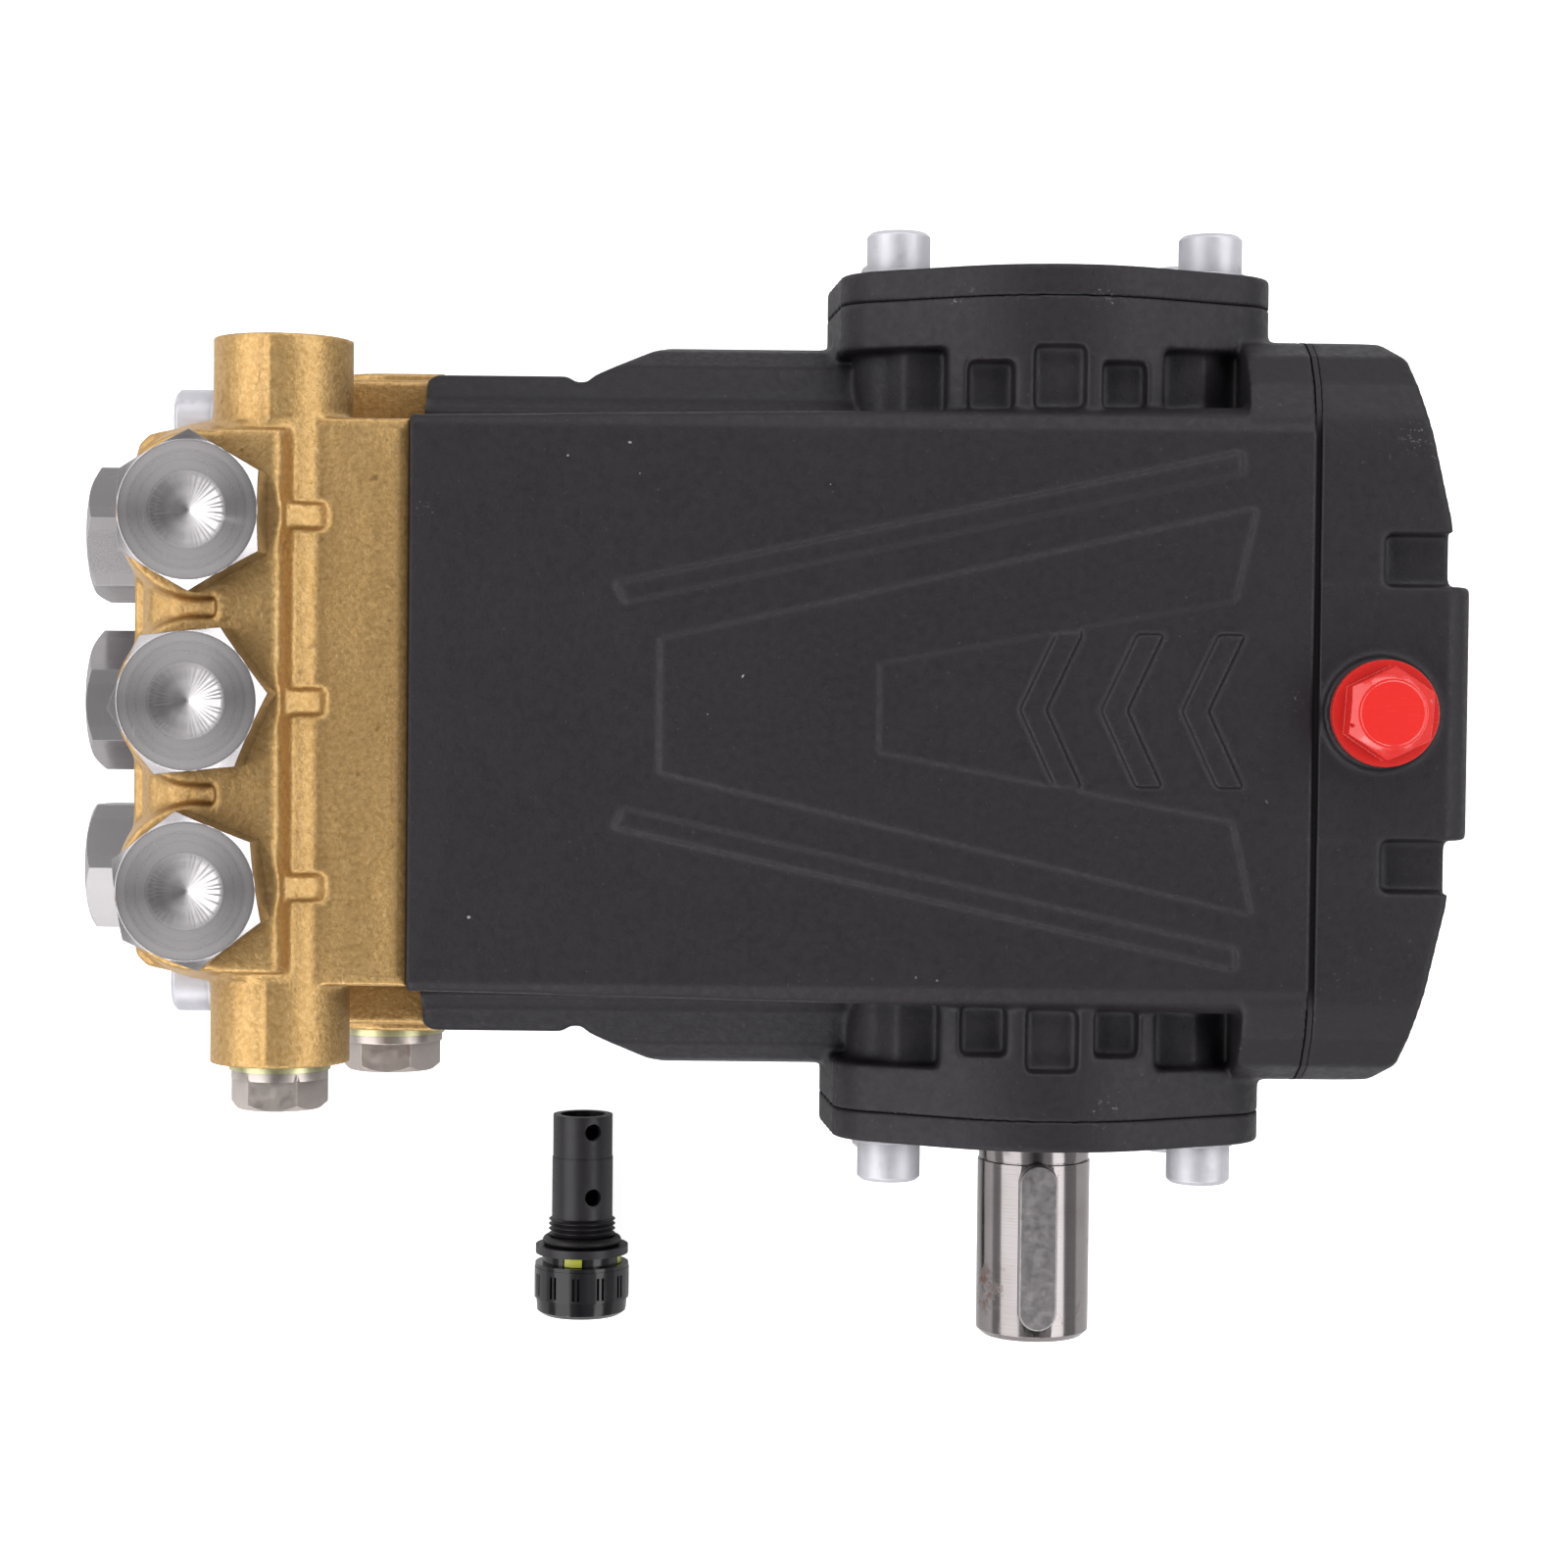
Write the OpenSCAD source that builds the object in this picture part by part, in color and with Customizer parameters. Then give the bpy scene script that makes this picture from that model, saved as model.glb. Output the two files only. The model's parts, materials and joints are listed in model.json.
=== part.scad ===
// Triplex plunger pump for pressure washers, with crankcase, brass manifold,
// six valves, three plungers, drive shaft and a loose vented oil plug.
// Millimetres. +Z up. Shapes are drawn from the crankshaft's axis at the pump's mid-plane, then
// on_base() sets the origin to the middle of the four foot holes, on the base plane.
// +X points to the rear cover, -X to the manifold, the keyed shaft points to -Y.

/* [Pump layout] */
// Distance between neighbouring plungers
pitch = 36.66; // [34:0.01:40]
// Joint plane between crankcase and manifold
x_joint = -129; // [-132:0.5:-126]
// Joint plane between crankcase and rear cover
x_rear = 50; // [48:0.5:52]
// Underside of the feet
z_base = -75; // [-80:0.5:-70]
// Top of the crankcase
z_top = 48.5; // [46:0.5:50]
// Outer faces of the bearing covers
y_cover = 88.3; // [86:0.1:90]

/* [Drive shaft] */
// Drive shaft radius
shaft_r = 12; // [11.9:0.05:12.5]
// Free end of the drive shaft
shaft_tip = -133.7; // [-136:0.1:-128]
// Key width
key_w = 8; // [6:1:8]
// Crank pin throw, half of the plunger's own throw
throw = 3; // [2.5:0.1:3]

/* [Plungers] */
// Plunger radius
plunger_r = 9; // [8:0.5:9]
// Running clearance on sliding and turning surfaces
run = 0.04; // [0.02:0.01:0.08]

/* [Manifold] */
// Delivery gallery axis, X
dx = -156; // [-158:0.5:-154]
// Delivery gallery axis, Z
dz = 35; // [33:0.5:37]
// Suction gallery axis, X
sx = -142; // [-144:0.5:-140]
// Suction gallery axis, Z
sz = -30; // [-32:0.5:-28]
// Delivery valve axis, X
vx = -169.4; // [-171:0.1:-168]
// Suction valve axis, Z
vz = -28; // [-30:0.5:-26]
// Valve lift
lift = 2.5; // [2:0.1:3]

/* [Base] */
// Spacing of the foot holes along X
foot_x = 110; // [100:1:120]
// Spacing of the foot holes along Y
foot_y = 116; // [110:1:120]
// Tapping radius of the foot holes
foot_r = 3.4; // [3.3:0.05:3.5]

/* [Hidden] */
$fn = 96;
eps = 0.01;
rows = [pitch, 0, -pitch];
phases = [0, 120, 240];
function off(i) = 2 * throw * cos(phases[i]);
rod_len = 52;
bush_r = 16;
pin_r = 11;
side = [-1, 1];
man_screws = [[-59.3, 5], [59.3, 5], [-18.33, 17], [18.33, 17], [-59.3, -46], [59.3, -46], [-18.33, -46], [18.33, -46]];
function seat_x(p) = abs(p[0]) < 30 && p[1] > 0 ? -176.6 : -174.2;
cov_x = [-32, 32];
cov_z = [-22.5, 22.5];
rear_screws = [[-66, 20], [66, 20], [-66, -42], [66, -42], [-28, 33], [28, 33], [-28, -53], [28, -53]];
black = [0.16, 0.15, 0.17];
brass_c = [0.74, 0.62, 0.36];
steel_c = [0.72, 0.72, 0.74];
zinc_c = [0.78, 0.78, 0.8];
rubber_c = [0.08, 0.08, 0.09];

// ---- helpers ----
// from the crankshaft's axis to the middle of the foot holes on the base plane
module on_base() translate([25, 0, -z_base]) children();
// a cylinder along +X starting at x0
module cx(r, x0, x1, y = 0, z = 0, n = 96) translate([x0, y, z]) rotate([0, 90, 0]) cylinder(r = r, h = x1 - x0, $fn = n);
// a cylinder along +Y starting at y0
module cy(r, y0, y1, x = 0, z = 0, n = 96) translate([x, y1, z]) rotate([90, 0, 0]) cylinder(r = r, h = y1 - y0, $fn = n);
module cz(r, z0, z1, x = 0, y = 0, n = 96) translate([x, y, z0]) cylinder(r = r, h = z1 - z0, $fn = n);
module cone_x(r0, r1, x0, x1, y = 0, z = 0) translate([x0, y, z]) rotate([0, 90, 0]) cylinder(r1 = r0, r2 = r1, h = x1 - x0);
module bx(x0, x1, y0, y1, z0, z1) translate([x0, y0, z0]) cube([x1 - x0, y1 - y0, z1 - z0]);
// a (y, z) outline pushed along X
module along_x(x0, x1, pts) translate([x0, 0, 0]) rotate([90, 0, 90]) linear_extrude(height = x1 - x0) polygon(pts);
// an (x, y) outline pushed up
module along_z(z0, z1, pts) translate([0, 0, z0]) linear_extrude(height = z1 - z0) polygon(pts);
// an (x, z) outline pushed along Y
module along_y(y0, y1, pts) translate([0, y1, 0]) rotate([90, 0, 0]) linear_extrude(height = y1 - y0) polygon(pts);
function mirrored(p) = concat(p, [for (i = [len(p) - 1:-1:0]) [-p[i][0], p[i][1]]]);
function mirrored_y(p) = concat(p, [for (i = [len(p) - 1:-1:0]) [p[i][0], -p[i][1]]]);

// socket cap screw standing on z = 0, head up
module cap_screw(r, long, head_r, head_h, af) {
  difference() {
    union() {
      cylinder(r = head_r, h = head_h - 0.8);
      translate([0, 0, head_h - 0.8]) cylinder(r1 = head_r, r2 = head_r - 0.8, h = 0.8);
      translate([0, 0, -long]) cylinder(r = r, h = long + 0.5);
    }
    translate([0, 0, head_h - 4]) cylinder(r = af / sqrt(3), h = 5, $fn = 6);
  }
}
// hexagon across flats af with a turned chamfer on its top edge
module hex_head(af, h) {
  intersection() {
    cylinder(r = af / sqrt(3), h = h, $fn = 6);
    union() {
      cylinder(r = af, h = h - 1.6);
      translate([0, 0, h - 1.6]) cylinder(r1 = af / sqrt(3) + 0.3, r2 = af / 2 - 0.1, h = 1.6 + eps);
    }
  }
}
module torus(r, w) rotate_extrude() translate([r, 0]) circle(r = w, $fn = 32);
// round wire spring: the wire's section leans with the helix
module spring(r, w, long, turns) {
  a = 360 * w * turns / (long - 2 * w);
  linear_extrude(height = long, twist = 360 * turns, slices = 14 * turns, $fn = 6)
    polygon([for (k = [0:7]) let(u = 22.5 + 45 * k, q = r + w * sin(u)) [q * cos(a * cos(u)), q * sin(a * cos(u))]]);
}

// ---- castings ----
case_section = mirrored([[70, -62], [75.5, -56], [75.5, 6], [74, 14], [70, 19], [63, 21.5], [60.4, 25], [60.4, 43.5], [58.6, 46.9], [55.2, z_top]]);
rear_section = mirrored([[70, -62], [75.5, -56], [75.5, 26], [74.3, 34], [71, 40.5], [65, 45.2], [58, 47.6], [50, z_top]]);
case_plan = mirrored_y([[x_joint, 66.5], [-127, 68], [-100, 68], [-98.5, 66.8], [-96, 66.8], [-94.5, 68.2], [-80, 75.3], [20, 75.3], [44, 76.2], [x_rear, 76.2]]);
lid_plan = mirrored_y([[x_joint, 57.1], [20, 60], [30, 60.4], [x_rear, 60.4]]);
cover_plan = mirrored_y([[x_rear + 1, 76.2], [55, 76.2], [64.8, 74.8], [69.2, 70.4], [73, 56], [77.2, 37.5], [77.3, 36], [77.3, 0]]);

module boss_outline(r, l) hull() {
  circle(r = r);
  for (x = cov_x, z = cov_z) translate([x, z]) circle(r = l);
}
module crankcase_side(s) {
  // flange plate, bearing barrel and ribs of one side
  mirror([0, s < 0 ? 1 : 0, 0]) {
    translate([0, 82, 0]) rotate([90, 0, 0]) linear_extrude(height = 9.8) boss_outline(46.2, 12);
    cy(38.5, 54, 80);
    for (x = cov_x, z = cov_z) cy(8, 57, 80, x, z);
    // barrel with flat-bottomed pockets between its ribs
    difference() {
      intersection() {
        cy(46, 56, 76);
        bx(-40.6, 40, 56, 76, -60, 60);
      }
      bx(-18.7, -9.5, 50, 69.3, 40, 60);
      bx(7.9, 16.9, 50, 69.3, 40, 60);
      bx(-5.7, 4.6, 50, 72.2, 42.8, 60);
      bx(-36, -22.6, 50, 72.2, 34, 60);
      bx(20.7, 33, 50, 72.2, 35.5, 60);
    }
  }
}
module relief() {
  // raised panels on the lid: a tapered frame and plain cross ribs
  along_z(z_top - 1, z_top + 0.9, [[-88, 24], [35, 51], [35, 47], [-86, 20.5]]);
  along_z(z_top - 1, z_top + 0.9, [[-88, -24], [35, -51], [35, -47], [-86, -20.5]]);
  along_z(z_top - 1, z_top + 0.7, [[-79, 13], [38, 40], [34, 22], [-36, 9], [-36, -9], [34, -22], [38, -40], [-79, -13]]);
  for (x = [-8, 8, 24]) along_z(z_top - 1, z_top + 1.3, [[x, 0], [x + 7, -15], [x + 12, -15], [x + 5, 0], [x + 12, 15], [x + 7, 15]]);
}
module crankcase() color(black) on_base() difference() {
  union() {
    intersection() {
      union() {
        intersection() {
          along_x(x_joint, x_rear, case_section);
          union() {
            along_z(-62, 25, case_plan);
            along_z(24.9, z_top, lid_plan);
          }
        }
        along_x(37, x_rear, rear_section);
      }
      along_z(-62, z_top, case_plan);
    }
    relief();
    for (s = side) crankcase_side(s);
    // feet
    for (s = side) bx(-96, 44, s > 0 ? 44 : -72, s > 0 ? 72 : -44, z_base, -60);
  }
  // arches between the feet pads
  for (s = side) bx(-64, 12, s > 0 ? 40 : -74, s > 0 ? 74 : -40, z_base - 1, z_base + 5);
  // crank chamber, open to the rear cover, with screw bosses left standing
  difference() {
    union() {
      bx(-31, x_rear + 1, -58, 58, -54, 17);
      bx(-31, x_rear + 1, -54, 54, 16, 42);
    }
    for (i = [4:7]) cx(7.5, 26, x_rear + 2, rear_screws[i][0], rear_screws[i][1]);
    for (i = [4:5]) bx(26, x_rear + 2, rear_screws[i][0] - 7.5, rear_screws[i][0] + 7.5, rear_screws[i][1], 45);
  }
  // oil spaces above and below the crosshead guides
  bx(-86, -30, -58, 58, -54, -18.5);
  bx(-86, -30, -54, 54, 18.5, 41);
  // side bores for the bearing covers
  for (s = side) mirror([0, s < 0 ? 1 : 0, 0]) {
    cy(33, 53, 83);
    translate([0, 82.5, 0]) rotate([90, 0, 0]) cylinder(r1 = 34.2, r2 = 33, h = 1.5);
    for (x = cov_x, z = cov_z) cy(4.05, 62, 83, x, z);
  }
  for (y = rows) {
    cx(14 + run, -88, -30, y);
    cx(9.6, -94, -86, y);
    cx(13, -103.5, -93, y);
    cx(17, x_joint - 1, -103, y);
    // weep slots under the plungers
    bx(-124, -108, y - 4, y + 4, -63, 0);
  }
  for (p = man_screws) cx(4.05, x_joint - 1, -106, p[0], p[1]);
  for (p = rear_screws) cx(3.05, 38, x_rear + 1, p[0], p[1]);
  for (x = [-80, 30], s = side) cz(foot_r, z_base - 1, z_base + 14, x, s * foot_y / 2);
}

module rear_cover() color(black) on_base() difference() {
  union() {
    intersection() {
      along_x(x_rear + 1, 92, rear_section);
      union() {
        along_z(-62, z_top - 0.4, cover_plan);
        along_y(-25.2, 25.2, [[x_rear + 1, -60], [78, -60], [78, -31], [81.8, -26], [81.8, 42], [81.2, 45], [79.6, 47], [77, z_top - 0.1], [x_rear + 1, z_top - 0.1]]);
      }
    }
    cz(11.2, 40, 50.5, 63, 0);
  }
  // hollow inside
  bx(x_rear, 72, -50, 50, -42, 20);
  bx(x_rear, 69, -56, 56, -42, 20);
  // open pockets beside the middle lump, for the upper and lower screws
  for (s = side) {
    bx(64, 100, s > 0 ? 25.2 : -35.4, s > 0 ? 35.4 : -25.2, 43.5, 60);
    bx(65, 100, s > 0 ? 25.2 : -36, s > 0 ? 36 : -25.2, -70, -46);
  }
  for (i = [0:3]) cx(7, 63, 100, rear_screws[i][0], rear_screws[i][1]);
  for (i = [4:7]) cx(6.5, 59, i < 6 ? 100 : 66, rear_screws[i][0], rear_screws[i][1]);
  for (p = rear_screws) cx(3.3, x_rear, 66, p[0], p[1]);
  // filler mouth, sight glass seat and drain hole
  cz(8.05, 22, 52, 63, 0);
  cx(13.05, 76, 92, 0, -5);
  cx(10, 70, 92, 0, -5);
  cx(6.05, 70, 86, 0, -45);
}
module rear_cover_gasket() color(rubber_c) on_base() difference() {
  intersection() {
    along_x(x_rear, x_rear + 1, rear_section);
    along_z(-61.5, z_top - 1.6, mirrored_y([[x_rear - 1, 75.9], [x_rear + 2, 75.9]]));
  }
  difference() {
    bx(x_rear - 1, x_rear + 2, -57, 57, -52, 41);
    for (i = [4:7]) cx(7.5, x_rear - 2, x_rear + 3, rear_screws[i][0], rear_screws[i][1]);
    for (i = [4:5]) bx(x_rear - 2, x_rear + 3, rear_screws[i][0] - 7.5, rear_screws[i][0] + 7.5, rear_screws[i][1], 45);
  }
  for (p = rear_screws) cx(3.3, x_rear - 1, x_rear + 2, p[0], p[1]);
}
module rear_cover_screws() color(zinc_c) on_base() {
  for (i = [0:3]) translate([63, rear_screws[i][0], rear_screws[i][1]]) rotate([0, 90, 0]) cap_screw(3, 24, 5, 6, 5);
  for (i = [4:7]) translate([59, rear_screws[i][0], rear_screws[i][1]]) rotate([0, 90, 0]) cap_screw(3, 20, 5, 6, 5);
}

// bearing cover: flange, spigot into the crankcase and the bearing's pocket
module cover_body(s, open) {
  mirror([0, s < 0 ? 1 : 0, 0]) difference() {
    union() {
      translate([0, y_cover, 0]) rotate([90, 0, 0]) linear_extrude(height = y_cover - 82) boss_outline(46.2, 12);
      cy(32.95, 57.5, 83);
      if (open) cy(22, 84, y_cover + 1.2);
      else cy(29, 84, y_cover + 0.9);
    }
    cy(26.02, 56, 75);
    cy(21, 74, 79.5);
    // groove of the cover's O-ring
    difference() {
      cy(34, 76, 79.2);
      cy(30.4, 75, 80);
    }
    for (x = cov_x, z = cov_z) cy(4.3, 80, y_cover + 2, x, z);
    if (open) {
      cy(17.52, 81, y_cover + 2);
      cy(15.5, 78, 82);
    } else {
      // shallow ring and centre mark of the closed cover
      difference() {
        cy(25, y_cover - 0.6, y_cover + 2);
        cy(21, y_cover - 1, y_cover + 3);
      }
      cy(2.2, y_cover - 1.5, y_cover + 2);
    }
  }
}
module drive_side_bearing_cover() color(black) on_base() cover_body(-1, true);
module blind_side_bearing_cover() color(black) on_base() cover_body(1, false);
module bearing_cover_o_rings() color(rubber_c)
  on_base() for (s = side) translate([0, s * 77.6, 0]) rotate([90, 0, 0]) torus(31.72, 1.25);
module bearing_cover_screws() color(zinc_c)
  on_base() for (s = side, x = cov_x, z = cov_z) translate([x, s * (y_cover + 1.1), z]) rotate([s > 0 ? -90 : 90, 0, 0]) cap_screw(4, 25, 6.5, 8, 6);
module washer(ri, ro, h) difference() {
  cylinder(r = ro, h = h);
  translate([0, 0, -1]) cylinder(r = ri, h = h + 2);
}
module screw_washers() color(zinc_c) on_base() {
  for (s = side, x = cov_x, z = cov_z) translate([x, s * y_cover, z]) rotate([s > 0 ? -90 : 90, 0, 0]) washer(4.25, 7.3, 1.09);
  for (p = man_screws) translate([seat_x(p), p[0], p[1]]) rotate([0, -90, 0]) washer(4.25, 7.3, 1.09);
}
module shaft_oil_seal() color(rubber_c) on_base() translate([0, -81.1, 0]) rotate([90, 0, 0]) rotate_extrude()
  polygon([[shaft_r + 0.03, 2.6], [shaft_r + 0.03, 3.2], [13.2, 5.2], [13.2, 7.0], [17.5, 7.0], [17.5, 0], [13.5, 0], [13.5, 1.2], [13.8, 2.0], [12.8, 2.2]]);
module race(ri, ro) for (s = side) translate([0, s > 0 ? 74.9 : -59.6, 0]) rotate([90, 0, 0]) difference() {
  cylinder(r = ro, h = 15.3);
  translate([0, 0, -1]) cylinder(r = ri, h = 18);
}
module bearing_outer_races() color(steel_c) on_base() race(22.55, 26);
module bearing_inner_races() color(steel_c) on_base() race(12.52, 16.45);
module bearing_rollers() color(steel_c)
  on_base() for (s = side, k = [0:13]) translate([0, s * 67.25 + 5.5, 0]) rotate([90, 0, 0]) rotate([0, 0, k * 360 / 14]) translate([19.5, 0, 0]) cylinder(r = 3, h = 11, $fn = 48);
module bearing_cages() color([0.8, 0.65, 0.3])
  on_base() for (s = side) translate([0, s * 67.25 + 6.9, 0]) rotate([90, 0, 0]) difference() {
    cylinder(r = 21.2, h = 13.8);
    translate([0, 0, -1]) cylinder(r = 17.8, h = 16);
    for (k = [0:13]) rotate([0, 0, k * 360 / 14]) translate([19.5, 0, 1.3]) cylinder(r = 3.08, h = 11.2, $fn = 48);
  }

// ---- crank train ----
module crankshaft() color(steel_c) on_base() difference() {
  union() {
    cy(shaft_r, shaft_tip + 1.2, -74);
    translate([0, shaft_tip, 0]) rotate([-90, 0, 0]) cylinder(r1 = shaft_r - 1.2, r2 = shaft_r, h = 1.2);
    cy(12.5, -75.5, 75.5);
    cy(16, -59.5, -pitch - 9.3);
    cy(16, pitch + 9.3, 59.5);
    cy(15.5, -pitch + 9.3, -9.3);
    cy(15.5, 9.3, pitch - 9.3);
    for (i = [0:2]) cy(pin_r, rows[i] - 10, rows[i] + 10, throw * cos(phases[i]), throw * sin(phases[i]));
  }
  // turn the shaft down beside each pin
  for (i = [0:2]) difference() {
    cy(20, rows[i] - 9.3, rows[i] + 9.3);
    cy(pin_r, rows[i] - 11, rows[i] + 11, throw * cos(phases[i]), throw * sin(phases[i]));
  }
  // step and groove beside the cover, and the keyway
  difference() {
    cy(14, -96.2, -90.6);
    cy(shaft_r - 0.25, -95.8, -90);
    cy(shaft_r - 0.6, -97, -95);
  }
  bx(-key_w / 2, key_w / 2, -126.6, -99.6, 8, 14);
  for (y = [-99.6, -126.6]) cz(key_w / 2, 8, 14, 0, y);
  // centre hole
  translate([0, shaft_tip - eps, 0]) rotate([-90, 0, 0]) cylinder(r1 = 2.6, r2 = 0.6, h = 3.4);
}
module shaft_key() color(steel_c) on_base() {
  bx(-key_w / 2 + 0.02, key_w / 2 - 0.02, -126.6, -99.6, 8.02, 15);
  for (y = [-99.6, -126.6]) cz(key_w / 2 - 0.02, 8.02, 15, 0, y);
}
module crank_bush(i) color([0.72, 0.5, 0.25]) on_base() difference() {
  cy(bush_r, rows[i] - 9, rows[i] + 9, 2 * throw * cos(phases[i]), 0);
  cy(pin_r + run, rows[i] - 10, rows[i] + 10, throw * cos(phases[i]), throw * sin(phases[i]));
}
module crank_bush_1() crank_bush(0);
module crank_bush_2() crank_bush(1);
module crank_bush_3() crank_bush(2);

// connecting rod with its bolted cap and two cap screws as separate solids
module con_rod(i) color([0.66, 0.68, 0.7]) on_base() translate([off(i), rows[i], 0]) {
  difference() {
    union() {
      cy(21.5, -8.5, 8.5);
      along_y(-5, 5, [[0, 15], [-rod_len, 8.5], [-rod_len, -8.5], [0, -15]]);
      cy(10.2, -6, 6, -rod_len);
      for (s = side) bx(-13, 13, -8.5, 8.5, s > 0 ? 15.5 : -26, s > 0 ? 26 : -15.5);
    }
    cy(bush_r + run, -10, 10);
    cy(6 + run, -10, 10, -rod_len);
    // the split between rod and cap
    bx(-0.02, 0.02, -10, 10, -30, 30);
    for (s = side) cx(2.55, -11, 14, 0, s * 21.2);
    for (s = side) cx(4.6, 13, 20, 0, s * 21.2);
    along_y(-6, -3, [[-24, 8.4], [-40, 5.4], [-40, -5.4], [-24, -8.4]]);
    along_y(3, 6, [[-24, 8.4], [-40, 5.4], [-40, -5.4], [-24, -8.4]]);
  }
  for (s = side) translate([13.02, 0, s * 21.2]) rotate([0, 90, 0]) cap_screw(2.5, 23, 4.25, 4.9, 4);
}
module con_rod_1() con_rod(0);
module con_rod_2() con_rod(1);
module con_rod_3() con_rod(2);

module wrist_pin(i) color(steel_c) on_base() translate([off(i) - rod_len, rows[i], 0]) difference() {
  cy(6, -12, 12);
  cy(2.5, -13, 13);
}
module wrist_pin_1() wrist_pin(0);
module wrist_pin_2() wrist_pin(1);
module wrist_pin_3() wrist_pin(2);

// crosshead: guide piston, neck through the oil seal and the bolt that holds the plunger
module crosshead(i) color(steel_c) on_base() translate([off(i) - rod_len, rows[i], 0]) {
  difference() {
    union() {
      cx(14 - run, -22, 12);
      cx(8, -60, -20);
    }
    bx(-11.5, 14, -6.5, 6.5, -15, 15);
    cy(6.02, -15, 15);
    cx(3.05, -61, -30);
    for (x = [-17, 6]) difference() {
      cx(15, x - 0.8, x + 0.8);
      cx(13.2, x - 2, x + 2);
    }
  }
  // plunger bolt and its washer
  cx(3, -119.2, -36);
  difference() {
    cx(6.5, -119.3, -114.3);
    translate([-119.4, 0, 0]) rotate([0, 90, 0]) cylinder(r = 2.9, h = 3, $fn = 6);
  }
}
module crosshead_1() crosshead(0);
module crosshead_2() crosshead(1);
module crosshead_3() crosshead(2);

// ceramic plunger sleeve, clamped between crosshead neck and bolt head
module plunger(i) color([0.93, 0.92, 0.88]) on_base() translate([off(i) - rod_len, rows[i], 0]) difference() {
  union() {
    cx(plunger_r, -113.3, -60.02);
    cone_x(plunger_r - 0.9, plunger_r, -114.2, -113.3);
  }
  cx(3.1, -115, -59);
}
module plunger_1() plunger(0);
module plunger_2() plunger(1);
module plunger_3() plunger(2);

// ---- seals around the plungers ----
module about_plunger(x) for (y = rows) translate([x, y, 0]) rotate([0, -90, 0]) rotate_extrude() children();
module seal_carriers() color(brass_c) on_base() about_plunger(-119.5)
  polygon([[9.3, 0], [14.95, 0], [16.6, 0.02], [16.6, 9.3], [14.95, 9.3], [14.95, 27.3], [9.3, 27.3], [9.3, 17.5], [13, 17.5], [13, 10.5], [9.3, 10.5]]);
module low_pressure_seals() color([0.1, 0.1, 0.12]) on_base() about_plunger(-130.1)
  polygon([[plunger_r + 0.03, 1.2], [plunger_r + 0.6, 0.1], [12.9, 0.1], [12.9, 6.7], [11.2, 6.7], [10.6, 3.4], [10, 6.7], [plunger_r + 0.03, 6.0]]);
module high_pressure_seals() color([0.55, 0.35, 0.16]) on_base() about_plunger(-147.05)
  polygon([[plunger_r + 0.03, 0.4], [plunger_r + 0.4, 0], [13.4, 0], [13.4, 8.6], [12, 8.6], [11.2, 4.6], [10.4, 8.6], [plunger_r + 0.03, 8.0]]);
module crosshead_oil_seals() color(rubber_c) on_base() about_plunger(-93.2)
  polygon([[8.03, 2.6], [8.03, 3.4], [9.0, 5.2], [9.0, 9.3], [12.95, 9.3], [12.95, 0], [9.6, 0], [9.6, 1.0], [9.9, 2.0], [8.8, 2.2]]);

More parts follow.
